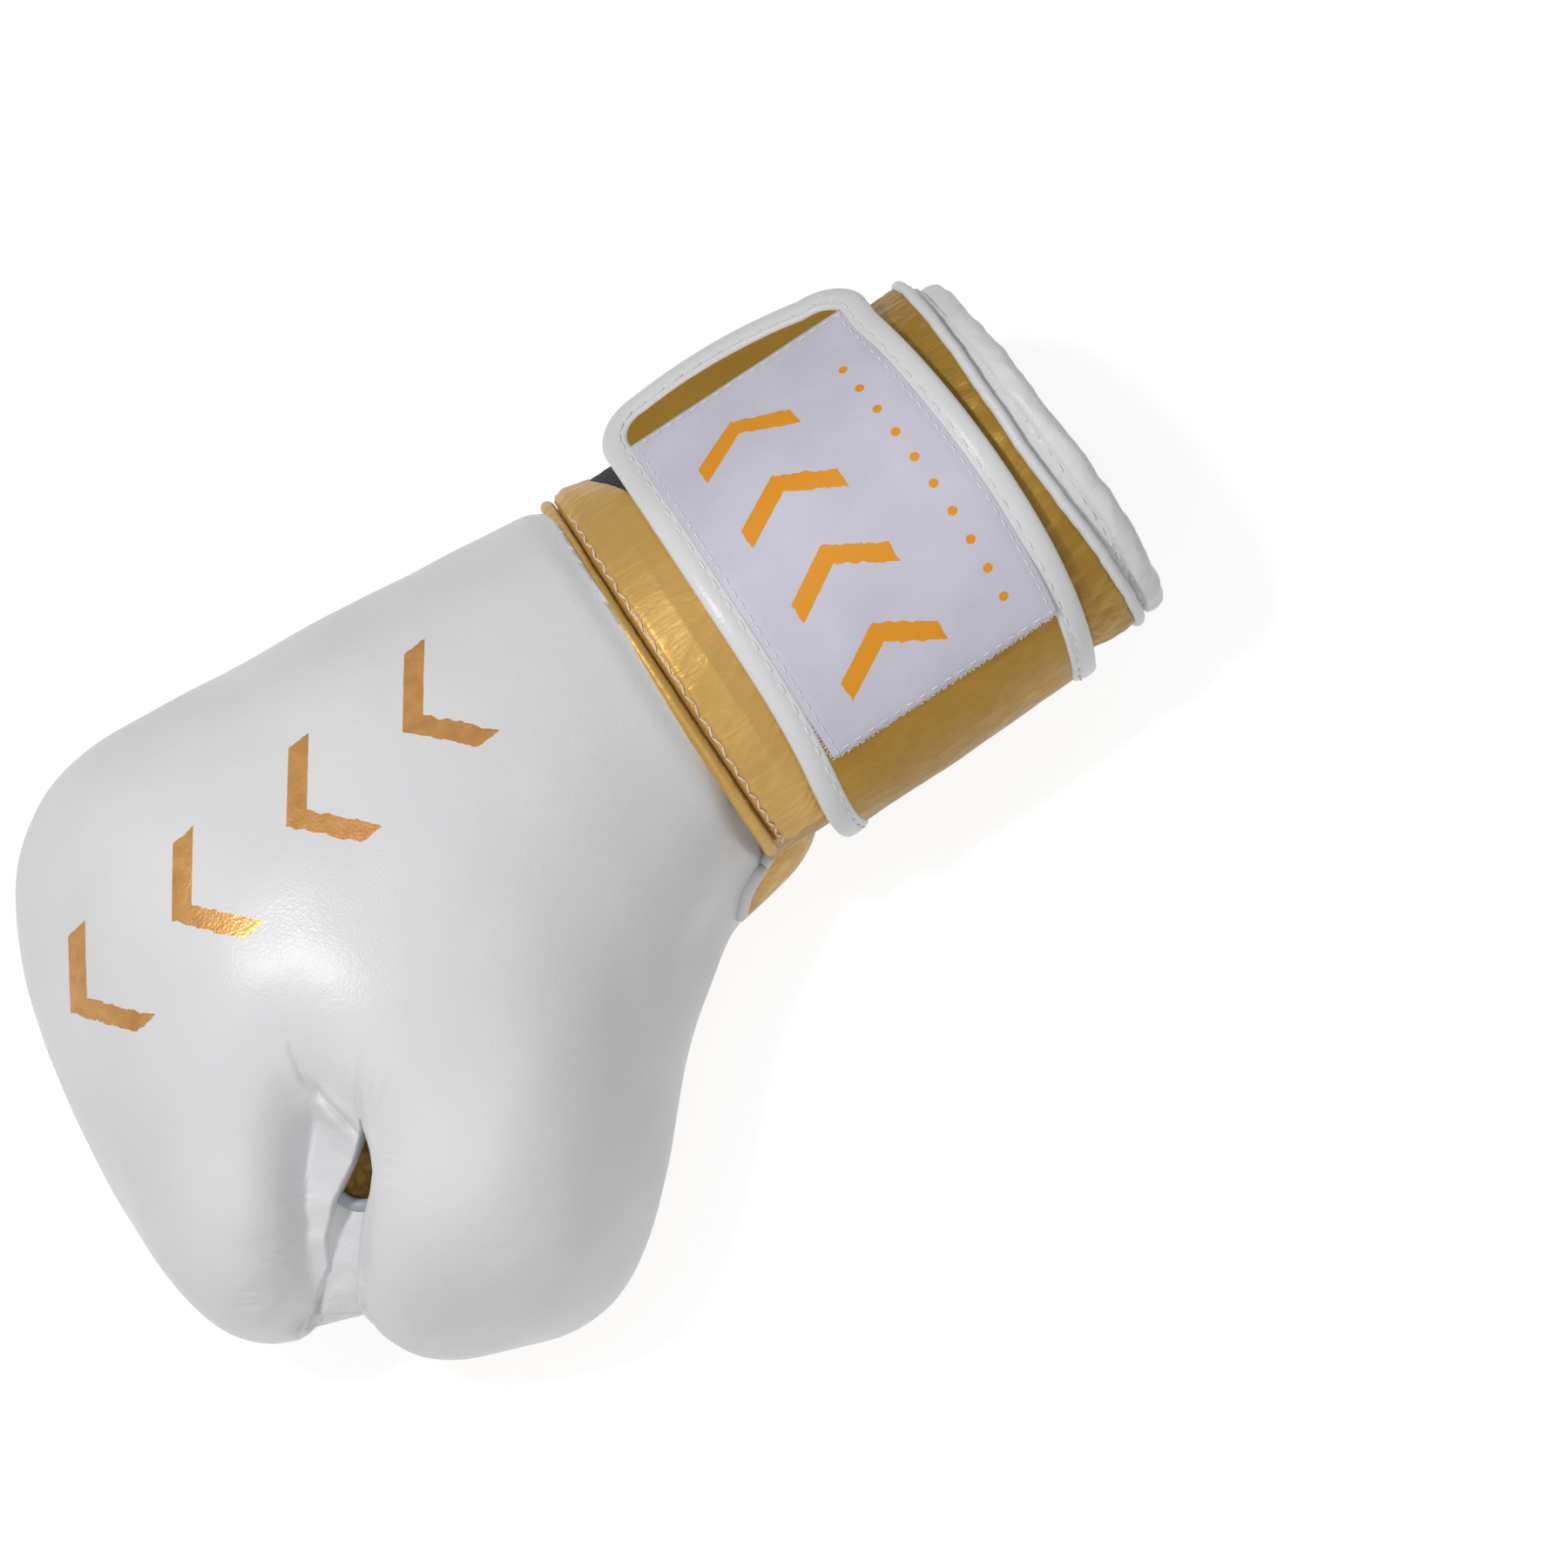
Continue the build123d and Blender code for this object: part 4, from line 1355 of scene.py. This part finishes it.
def makeBand():
    first, last = band["first"], band["last"]
    x0, x1 = bandRear, band["foldAt"]

    def place(u, v):
        angle = first + (last - first) * v
        start = x0 - 4.0 + 6.5 * smoothStep(122, 152, angle)
        x = start + (x1 - start) * u
        crown = band["crown"] + 1.6 * smoothStep(120, 155, angle)
        rise = crown * min(1.0, 0.55 + 0.07 * (x - start))
        pinch = 0.45 * bell(x - band["stitchAt"], 0.9)
        fold = 1.5 * smoothStep(band["foldAt"] - 1.2, band["foldAt"], x)
        return cuffPoint(x, angle, rise - pinch - fold + bandRelief(x, angle))

    bm = faceOut(shapedGrid(44, 360, place))
    piece = makePiece(bm, "band_leather", finishes["band"], nodes=["wrist_band"], slotName="gold_leather")
    giveWall(piece, 0.9)

    def lipPlace(u, v):
        angle, t = first + (last - first) * u, 2 * pi * v
        wobble = 0.18 * wave((angle * 0.22, 0, 0), 1.0, 2.0)
        r = band["lipRadius"] * (1 + 0.06 * wave((angle * 0.9, cos(t), sin(t)), 1.0, 5.0))
        x = band["lipMiddle"] + wobble + r * cos(t) * 0.92
        return cuffPoint(x, angle, 1.6 + r * sin(t) * 0.95)

    bm = outward(shapedGrid(360, 20, lipPlace))
    closeEnds(bm)
    makePiece(bm, "band_lip", finishes["band"], nodes=["wrist_band_lip"], slotName="gold_leather")

    bm = bmesh.new()
    mean = (cuff["halfWidth"] + cuff["halfHeight"]) / 2
    count = int(radians(last - first) * mean / band["stitchStep"])
    for k in range(count):
        angle = first + (last - first) * (k + 0.5) / count
        sign = 1 if k % 2 else -1
        half = (last - first) / count / 2
        one = cuffPoint(band["stitchAt"] - sign * band["zigzag"], angle - half, band["crown"] - 0.1)
        other = cuffPoint(band["stitchAt"] + sign * band["zigzag"], angle + half, band["crown"] - 0.1)
        length = (other - one).length * 1.02
        addStitch(bm, (one + other) / 2, other - one, aboveCuff(angle), length, 0.62)
    makePiece(bm, "band_thread", finishes["thread"], nodes=["wrist_band_stitching"], slotName="thread")


makeBand()
print("wrist band made")


def strapHalfWidth(run):
    # the strap narrows round the two corners of its tip
    half = (strapHigh.x - strapLow.x) / 2
    past = run - (tipEnd - strap["corner"])
    if past <= 0:
        return half
    r = strap["corner"]
    return half - r + sqrt(max(0.0, r * r - min(past, r) ** 2))


def strapEdges(run):
    middle = (strapHigh.x + strapLow.x) / 2
    half = strapHalfWidth(run)
    bow = strap["backBow"] * cos(min(1.0, abs(run - 52) / 62) * pi / 2) - 1.3 * bell(run - 2, 30)
    flare = strap["frontFlare"] * bell(run - 4, 24)
    return middle - half - bow, middle + half + flare


def arch(share):
    # how far the tip's edge stands out past its corners, over the strap's width
    return strap["tipArch"] * (1 - (2 * share - 1) ** 2) - strap["tipSlant"] * (1 - share)


def strapPress(x, run):
    # the strap is drawn in where its rear edge passes the thumb's side
    return 2.0 * (1 - smoothStep(16, 66, x)) * bell(run - 2, 24)


def strapPlace(share, run, height, inset=0.0):
    low, high = strapEdges(run)
    x = low + inset + (high - low - 2 * inset) * share
    end = smoothStep(leaveRun, tipEnd, run)
    return strapPoint(x, run + arch(share) * end, height - strapPress(x, run))


def makeStrapLeather():
    first, last = seamRun + 0.2, tipEnd - 1.2

    def place(u, v):
        run = first + (last - first) * v
        p = Vector((u * strap["width"], run, 0))
        soft = 0.22 * wave(p, 0.06, 4.0) + 0.12 * wave(p, 0.2, 6.0)
        return strapPlace(u, run, strap["top"] - 0.1 + soft, inset=1.0)

    bm = faceOut(shapedGrid(60, 240, place, flat=lambda u, v: (u * strap["width"], v * (last - first))))
    piece = makePiece(bm, "strap_leather", finishes["strap"], body=None,
                      nodes=["strap_root_leather", "strap_flap_leather"], slotName="gold_leather")
    return giveWall(piece, strap["top"] - strap["bottom"] - 0.3)


outlineShape = {"step": 1.4, "cornerSteps": 15}


def edgePath():
    # round the strap: up its front edge, round the tip and back down its rear edge
    step, cornerSteps = outlineShape["step"], outlineShape["cornerSteps"]
    runs = list(np.arange(seamRun + 0.3, tipEnd - strap["corner"], step))
    turns = [pi / 2 * k / cornerSteps for k in range(1, cornerSteps)]
    runs += [tipEnd - strap["corner"] * (1 - sin(t)) for t in turns]
    count = int(strapHalfWidth(tipEnd) * 2 / step)
    tip = [(1.0 - k / count, tipEnd) for k in range(count + 1)]
    return [(1.0, r) for r in runs] + tip + [(0.0, r) for r in reversed(runs)]


def flatPlace(share, run):
    low, high = strapEdges(run)
    end = smoothStep(leaveRun, tipEnd, run)
    return Vector((low + (high - low) * share, run + arch(share) * end))


def outlinePoints():
    # the outline on the strap's own flat layout, with the inward direction at each point
    flat = [flatPlace(*p) for p in edgePath()]
    out = []
    for k, p in enumerate(flat):
        a, b = flat[max(0, k - 2)], flat[min(len(flat) - 1, k + 2)]
        along = (b - a).normalized()
        out.append((p, Vector((-along.y, along.x))))
    return out


outline = outlinePoints()
binding = {
    "halfWidth": 3.35, "halfThick": 2.15, "profile": 34, "proud": 0.55, "stitchInset": 4.5,
    "stitchStep": 4.3, "stitchLength": 2.9, "stitchWidth": 0.62,
}


def bindingPoint(at, inset, height):
    p, inward = at
    q = p + inward * inset
    return strapPoint(q.x, q.y, height - strapPress(q.x, q.y))


def makeBinding():
    count = len(outline) - 1
    centreHeight = (strap["bottom"] + strap["top"]) / 2 + 0.15

    def place(u, v):
        at = outline[round(u * count)]
        t = 2 * pi * v
        c, s = cos(t), sin(t)
        width = squareOff(c, 0.75)
        thick = squareOff(s, 0.62)
        inset = binding["halfWidth"] - binding["proud"] - binding["halfWidth"] * width
        spot = at[0]
        puff = 0.12 * wave((spot.x * 0.05, spot.y * 0.05, 0.5 * c), 1.0, 3.0)
        height = centreHeight + (binding["halfThick"] + puff) * thick
        if s > 0:
            height -= 0.4 * bell(inset - binding["stitchInset"], 0.55)
        return bindingPoint(at, inset, height)

    bm = outward(shapedGrid(count, binding["profile"], place))
    closeEnds(bm)
    return makePiece(bm, "strap_binding", finishes["white"], body=None,
                     nodes=["strap_root_binding", "strap_flap_binding"], slotName="binding_leather")


def makeStrapThread():
    bm = bmesh.new()
    inset, height = binding["stitchInset"], strap["top"] + 0.95
    walked, target = 0.0, 2.0
    for before, at, after in zip(outline, outline[1:], outline[2:]):
        walked += (at[0] - before[0]).length
        if walked < target:
            continue
        target = walked + binding["stitchStep"]
        ahead = bindingPoint(after, inset, height) - bindingPoint(before, inset, height)
        mid = bindingPoint(at, inset, height)
        up = (mid - bindingPoint(at, inset, height - 1)).normalized()
        addStitch(bm, mid, ahead, up, binding["stitchLength"], binding["stitchWidth"])
    return makePiece(bm, "strap_thread", finishes["whiteThread"], body=None,
                     nodes=["strap_root_stitching", "strap_flap_stitching"], slotName="thread")


patch = {
    "front": 86.6, "back": 5.4, "start": runOf(27.0), "end": leaveRun + 16.5, "width": 60.0,
    "lift": 0.75, "wall": 0.55, "seamInset": 1.6,
    "stitchStep": 3.4, "stitchLength": 2.3, "stitchWidth": 0.42,
}
fray = {"start": 120, "front": 150, "shortest": 0.25, "spread": 0.5, "lean": 0.5, "width": 0.2}


def patchSpot(u, v):
    run = patch["start"] + (patch["end"] - patch["start"]) * v
    back = strapEdges(run)[0] + patch["back"]
    return back + (patch["front"] - back) * u, run


def makePatch():
    length, width = patch["end"] - patch["start"], patch["width"]
    top = strap["top"] + patch["lift"]

    def place(u, v):
        x, run = patchSpot(u, v)
        soft = 0.18 * wave((x * 0.07, run * 0.07, 0), 1.0, 5.0)
        edge = min(u * width, (1 - u) * width, v * length, (1 - v) * length)
        down = 0.35 * bell(edge, 1.2)
        pinch = 0.16 * bell(edge - patch["seamInset"], 0.45)
        return strapPoint(x, run, top + soft - down - pinch)

    bm = faceOut(shapedGrid(70, 110, place, flat=lambda u, v: (u * width, v * length)))
    piece = makePiece(bm, "satin_patch", finishes["satin"], body="strap_flap", nodes=["strap_patch"],
                      slotName="patch_satin")
    giveWall(piece, patch["wall"])


def makeFray():
    # loose thread ends along the patch's two cut edges
    bm = bmesh.new()
    rng = np.random.default_rng(7)
    height = strap["top"] + patch["lift"] - 0.35
    for side in ("start", "front"):
        number = fray[side]
        for k in range(number):
            share = (k + float(rng.random())) / number
            x, run = patchSpot(share, 0.0) if side == "start" else patchSpot(1.0, share)
            reach = fray["shortest"] + fray["spread"] * float(rng.random())
            lean = float(rng.normal()) * fray["lean"]
            root = strapPoint(x, run, height)
            if side == "start":
                end = strapPoint(x + lean, run - reach, height - 0.2)
            else:
                end = strapPoint(x + reach, run + lean, height)
            up = (strapPoint(x, run, height + 1) - root).normalized()
            addStitch(bm, (root + end) / 2, end - root, up, (end - root).length * 1.5, fray["width"])
    makePiece(bm, "patch_fray", finishes["whiteThread"], body="strap_flap", slotName="thread")


def makePatchThread():
    bm = bmesh.new()
    length, width = patch["end"] - patch["start"], patch["width"]
    inset, step = patch["seamInset"], patch["stitchStep"]
    height = strap["top"] + patch["lift"]

    def sew(u, v, alongStrap):
        x, run = patchSpot(u, v)
        mid = strapPoint(x, run, height)
        ahead = Vector((1, 0, 0))
        if alongStrap:
            ahead = strapPoint(x, run + 1, height) - strapPoint(x, run - 1, height)
        addStitch(bm, mid, ahead, strapPoint(x, run, height + 1) - mid, patch["stitchLength"],
                  patch["stitchWidth"])

    for u in (inset / width, 1 - inset / width):
        for k in range(int(length / step)):
            sew(u, (k + 0.5) * step / length, True)
    for k in range(int(width / step)):
        for v in (inset / length, 1 - inset / length):
            sew((k + 0.5) * step / width, v, False)
    makePiece(bm, "patch_thread", finishes["whiteThread"], body="strap_flap", slotName="thread")


# the hook tape and the backing keep an inset from the strap's edges; from and to are angles on the cuff
tape = {
    "width": 56.0, "inset": 6.2, "hookWall": 0.7, "hookFrom": 60, "tipClear": 8, "backingWall": 0.9,
    "loopWidth": 77.0, "loopWall": 0.6, "loopFrom": 42, "loopTo": 178,
}


def makeTapes():
    def hookPlace(u, v):
        first = runOf(tape["hookFrom"])
        run = first + (tipEnd - tape["tipClear"] - first) * v
        return strapPlace(u, run, strap["bottom"] - 0.2, inset=tape["inset"])

    bm = faceOut(shapedGrid(50, 100, hookPlace))
    turnOver(bm)
    layCloth(bm, "hook_tape", finishes["hook"], tape["width"], tape["hookWall"], "strap_leather",
             body="strap_flap", nodes=["hook_panel"], slotName="hook_fabric")
    loopLow, loopHigh = nodeBox("loop_panel")

    def loopPlace(u, v):
        angle = tape["loopFrom"] + (tape["loopTo"] - tape["loopFrom"]) * v
        high = loopHigh.x + 7.0 * smoothStep(114, 140, angle)
        x = loopLow.x + (high - loopLow.x) * u
        stand = 0.75 + 0.9 * smoothStep(120, 155, angle) * smoothStep(84, 92, x)
        return cuffPoint(x, angle, stand + 0.12 * wave(cuffPoint(x, angle), 0.5, 1.0))

    layCloth(faceOut(shapedGrid(120, 200, loopPlace)), "loop_tape", finishes["loop"], tape["loopWidth"],
             tape["loopWall"], "cuff_leather", nodes=["loop_panel"], slotName="loop_fabric")

    def backingPlace(u, v):
        run = seamRun + 0.4 + (-0.6 - seamRun) * v
        return strapPlace(u, run, 1.3, inset=tape["inset"])

    bm = faceOut(shapedGrid(40, 90, backingPlace))
    turnOver(bm)
    layCloth(bm, "root_backing", finishes["lining"], tape["width"], tape["backingWall"], "strap_leather",
             body="strap_root", nodes=["strap_root_backing"], slotName="lining_fabric")


anchor = {"first": -100.6, "last": -132.0, "thread": 4.55, "stitch": 2.4}  # angles, height and length


def makeAnchor():
    # the strap's sewn end, flat on the palm side of the cuff
    anchorLow, anchorHigh = nodeBox("strap_anchor")
    first, last = anchor["first"], anchor["last"]

    def place(u, v):
        x, angle = anchorLow.x + (anchorHigh.x - anchorLow.x) * u, first + (last - first) * v
        edge = min(u, 1 - u, v + 0.2, 1.0 - v) * 40
        rim = 1 - bell(edge, 1.2) if edge > 0 else 0
        return cuffPoint(x, angle, 1.0 + 3.6 * rim + 0.15 * wave((x * 0.1, angle * 0.1, 0), 1.0, 2.0))

    bm = faceOut(shapedGrid(60, 30, place))
    piece = makePiece(bm, "anchor_leather", finishes["strap"], nodes=["strap_anchor"],
                      slotName="gold_leather")
    giveWall(piece, 1.0)
    bm = bmesh.new()

    def sew(x, angle, ahead):
        mid = cuffPoint(x, angle, anchor["thread"])
        addStitch(bm, mid, ahead, cuffPoint(x, angle, 5.5) - mid, anchor["stitch"])

    for x in (anchorLow.x + 5, anchorHigh.x - 5):
        for k in range(8):
            angle = first - 4 - 3.0 * k
            ahead = cuffPoint(x, angle + 1, 4.5) - cuffPoint(x, angle - 1, 4.5)
            sew(x, angle, ahead)
    for k in range(14):
        x = anchorLow.x + 7.5 + k * (anchorHigh.x - anchorLow.x - 15) / 13
        for angle in (first - 3, first - 26):
            sew(x, angle, Vector((1, 0, 0)))
    makePiece(bm, "anchor_thread", finishes["whiteThread"], nodes=["strap_anchor_stitching"],
              slotName="thread")


for piece in (makeStrapLeather(), makeBinding(), makeStrapThread()):
    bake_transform(piece)
makePatch()
makeFray()
makePatchThread()
makeTapes()
makeAnchor()
print("strap made")


def seenHit(x, side):
    # the leather that the camera sees at that place over the hand
    start, ahead = seenPoint(x, side, 200), -seenPoint(0, 0, 1)
    hits = [tree.ray_cast(start, ahead) for tree in (skinTree, palmTree)]
    hits = [hit for hit in hits if hit[0]]
    return min(hits, key=lambda hit: hit[3])[0] if hits else None


def littleSideHit(x, z):
    # the leather's place on the little finger's side
    for tree in (skinTree, palmTree):
        spot = tree.ray_cast(Vector((x, -160, z)), Vector((0, 1, 0)))[0]
        if spot:
            return spot
    return None


# the piping beside the thumb's root, as (x, across)
rootPiping = [(101, 41.5), (104, 43.5), (112, 47.8), (121, 52), (126.5, 57)]
sidePiping = {"steps": 60, "thumbRadius": 1.6, "littleRadius": 1.2, "littleLength": 34, "littleY": -48}


def layPiping(name, placeAt, radius):
    steps = sidePiping["steps"]
    places = [spot for spot in (placeAt(k / (steps - 1)) for k in range(steps)) if spot]

    def centreAt(u):
        k = min(len(places) - 2, int(u * (len(places) - 1)))
        return places[k].lerp(places[k + 1], u * (len(places) - 1) - k)

    sweepTube(name, centreAt, steps, radius, finishes["white"], nodes=["side_piping"],
              slotName="binding_leather")


def makeSidePiping():
    def besideThumb(share):
        x = rootPiping[0][0] + (rootPiping[-1][0] - rootPiping[0][0]) * share
        spot = seenHit(x, float(np.interp(x, *zip(*rootPiping))))
        return spot and spot + seenPoint(0, 0.4, 0.9)

    def besideLittleFinger(share):
        x = cuff["end"] + sidePiping["littleLength"] * share
        spot = littleSideHit(x, seamAt(x, sidePiping["littleY"]))
        return spot and spot + Vector((0, -0.3, 0))

    layPiping("thumb_side_piping", besideThumb, sidePiping["thumbRadius"])
    layPiping("little_side_piping", besideLittleFinger, sidePiping["littleRadius"])


# Both edges of the gold web and of the thumb's tie, as (x, across, height)
web = {
    "finger": [(228.4, 47.6, 47), (232.6, 51.2, 45), (240, 56.6, 42), (243.5, 60, 40)],
    "thumb": [(227.2, 50.6, 47), (228.8, 56, 45), (231.8, 60.4, 42), (239, 67, 40)],
}
tie = {
    "finger": [(239.6, 56.4, 45), (245, 62, 43.5), (249.4, 68.5, 40.5), (258, 72, 35.5), (264, 77, 29.5),
               (265.5, 81.5, 17)],
    "thumb": [(234.4, 62.4, 45), (239.4, 69, 43.5), (244.2, 76.4, 40.5), (247.4, 81.5, 36.5),
              (250.3, 85, 30), (251.6, 86, 18)],
}


def between(edges, u, v):
    # a place on a strip between its two edges
    rows = [np.array(edges[name], float) for name in ("finger", "thumb")]
    at = u * (len(rows[0]) - 1)
    one, other = [np.array([np.interp(at, range(len(r)), r[:, k]) for k in range(3)]) for r in rows]
    x, side, height = one + (other - one) * v
    return *sighted(x, side), height


def makeSlotPieces():
    def webPlace(u, v):
        x, side, height = between(web, u, v)
        return seenPoint(x, side, height + 0.7 * wave((x * 0.4, side * 0.4, 0), 1.0, 4.0))

    bm = shapedGrid(40, 24, webPlace)
    piece = makePiece(faceUp(bm), "slot_web", finishes["web"], nodes=["palm_panel"],
                      slotName="gold_leather")
    giveWall(piece, 0.8)

    def tiePlace(u, v):
        x, side, height = between(tie, u, v)
        sag = 1.6 * sin(pi * v) * (1 - u)
        crumple = 0.8 * wave((x * 0.15, side * 0.2, 2), 1.0, 8.0)
        crumple += 0.3 * wave((x * 0.5, side * 0.4, 2), 1.0, 3.0)
        turned = 4.0 * (1 - sqrt(1 - (1 - min(1.0, u / 0.1)) ** 2))
        if v < 0.5 and u > 0.5:
            spot = seenHit(x, side)
            if spot:
                share = smoothStep(0.5, 0.0, v) * smoothStep(0.5, 0.7, u)
                height += share * (spot.dot(seenPoint(0, 0, 1)) - 0.2 - height)
        return seenPoint(x, side, height - sag + crumple * min(1.0, 3 * v) - turned)

    bm = shapedGrid(36, 28, tiePlace)
    piece = makePiece(faceUp(bm), "thumb_tie_leather", finishes["tie"], nodes=["thumb_tie"],
                      slotName="white_leather")
    giveWall(piece, 1.6)

    # the tie's rolled top edge; its grey finish is painted shade
    def foldAt(u):
        x, side, height = between(tie, 0.02, u)
        hang = sin(pi * u)
        return seenPoint(x + hang, side + hang, height - 1.4 * hang - 0.2)

    sweepTube("tie_fold", foldAt, 40, 1.5, finishes["fold"], nodes=["thumb_tie"],
              slotName="white_leather")


inside = {"liningVoxel": 1.4, "barVoxel": 1.6}


def makeInside():
    for name in ("hand_lining", "thumb_lining"):
        bm = remesh(copyOfNode(name), inside["liningVoxel"])
        smooth(bm, 4)
        bm.normal_update()
        for v in bm.verts:
            v.co += v.normal * 0.25 * wave(v.co, 0.11, 3.0)
        makePiece(bm, name + "_cloth", finishes["lining"], nodes=[name], slotName="lining_fabric")
    bm = remesh(copyOfNode("grip_bar"), inside["barVoxel"])
    smooth(bm, 6)
    for v in bm.verts:
        v.co.z += 0.4 * wave(v.co, 0.12, 5.0)
    piece = makePiece(bm, "grip_bar_cover", finishes["lining"], nodes=["grip_bar"],
                      slotName="lining_fabric")


makeSidePiping()
makeSlotPieces()
makeInside()
print("slot and inside made")


view = {
    "middle": (99.5, 35.7), "width": 372.6, "lens": 120.0, "sensor": 36.0, "turn": atan2(0.548, 0.836),
    "height": 12.0,
}


floorShape = {"size": 3000, "paper": 0.8, "bright": 1.21, "brightShare": 0.72}


def makeFloor():
    bm = bmesh.new()
    bmesh.ops.create_grid(bm, x_segments=4, y_segments=4, size=floorShape["size"])
    bmesh.ops.translate(bm, vec=(0, 0, floorHeight), verts=bm.verts)
    bmesh.ops.scale(bm, vec=(mm, mm, mm), verts=bm.verts)
    obj = looseObject(bm, "floor")
    material = bpy.data.materials.new("paleFloor")
    material.use_nodes = True
    tree = material.node_tree
    tree.nodes.clear()
    path = addNode(tree, "ShaderNodeLightPath")
    seen = maths(tree, "MAXIMUM", path.outputs["Is Camera Ray"], path.outputs["Is Glossy Ray"])
    grey = floorShape["paper"]
    paper = addNode(tree, "ShaderNodeBsdfDiffuse", {"Color": (grey, grey, grey, 1)})
    bright = addNode(tree, "ShaderNodeEmission", {"Color": (1, 1, 1, 1), "Strength": floorShape["bright"]})
    share = maths(tree, "MULTIPLY", seen, floorShape["brightShare"])
    both = addNode(tree, "ShaderNodeMixShader", {0: share, 1: paper.outputs[0], 2: bright.outputs[0]})
    addNode(tree, "ShaderNodeOutputMaterial", {0: both.outputs[0]})
    obj.data.materials.append(material)


def addLamp(name, size, power, place, target):
    lamp = bpy.data.lights.new(name, "AREA")
    lamp.size = size
    lamp.energy = power
    obj = bpy.data.objects.new(name, lamp)
    obj.location = place
    obj.rotation_mode = "QUATERNION"
    obj.rotation_quaternion = (target - place).to_track_quat("-Z", "Y")
    scene.collection.objects.link(obj)


studio = {
    "aim": (0.17, 0.02, 0.02), "distance": 1.1,
    "key": {"size": 0.11, "power": 5.6, "from": (0.22, -0.09, 0.96)},
    "fill": {"size": 0.8, "power": 2.2, "from": (0.15, 0.75, 0.65)},
    "skySeen": 0.66, "skyLight": 0.34,  # the world's strength, and what the camera's view adds to it
}


def lightScene():
    world = bpy.data.worlds.new("studio")
    world.use_nodes = True
    tree = world.node_tree
    sky = tree.nodes["Background"]
    sky.inputs["Color"].default_value = (1, 1, 1, 1)
    seen = addNode(tree, "ShaderNodeLightPath").outputs["Is Camera Ray"]
    strength = maths(tree, "MULTIPLY_ADD", seen, studio["skySeen"], studio["skyLight"])
    tree.links.new(strength, sky.inputs["Strength"])
    scene.world = world
    aim = Vector(studio["aim"])
    for name in ("key", "fill"):
        lamp = studio[name]
        addLamp(name, lamp["size"], lamp["power"], aim + Vector(lamp["from"]) * studio["distance"], aim)


def placeCamera():
    c, s = cos(backTilt), sin(backTilt)
    toCamera = Vector((0, s, c))
    sideways = Vector((0, c, -s))
    turnC, turnS = cos(view["turn"]), sin(view["turn"])
    right = Vector((-turnC, 0, 0)) + sideways * turnS
    up = -(Vector((turnS, 0, 0)) + sideways * turnC)
    target = Vector((view["middle"][0], 0, 0)) + sideways * view["middle"][1] + toCamera * view["height"]
    distance = view["width"] * view["lens"] / view["sensor"]
    camera = bpy.data.cameras.new("camera")
    camera.lens = view["lens"]
    camera.sensor_width = view["sensor"]
    obj = bpy.data.objects.new("camera", camera)
    frameTurn = Matrix((right, up, toCamera)).transposed().to_4x4()
    obj.matrix_world = Matrix.Translation((target + toCamera * distance) * mm) @ frameTurn
    scene.collection.objects.link(obj)
    scene.camera = obj


makeFloor()
lightScene()
placeCamera()
scene.view_settings.view_transform = "Standard"
print("stage set")

bpy.context.view_layer.update()
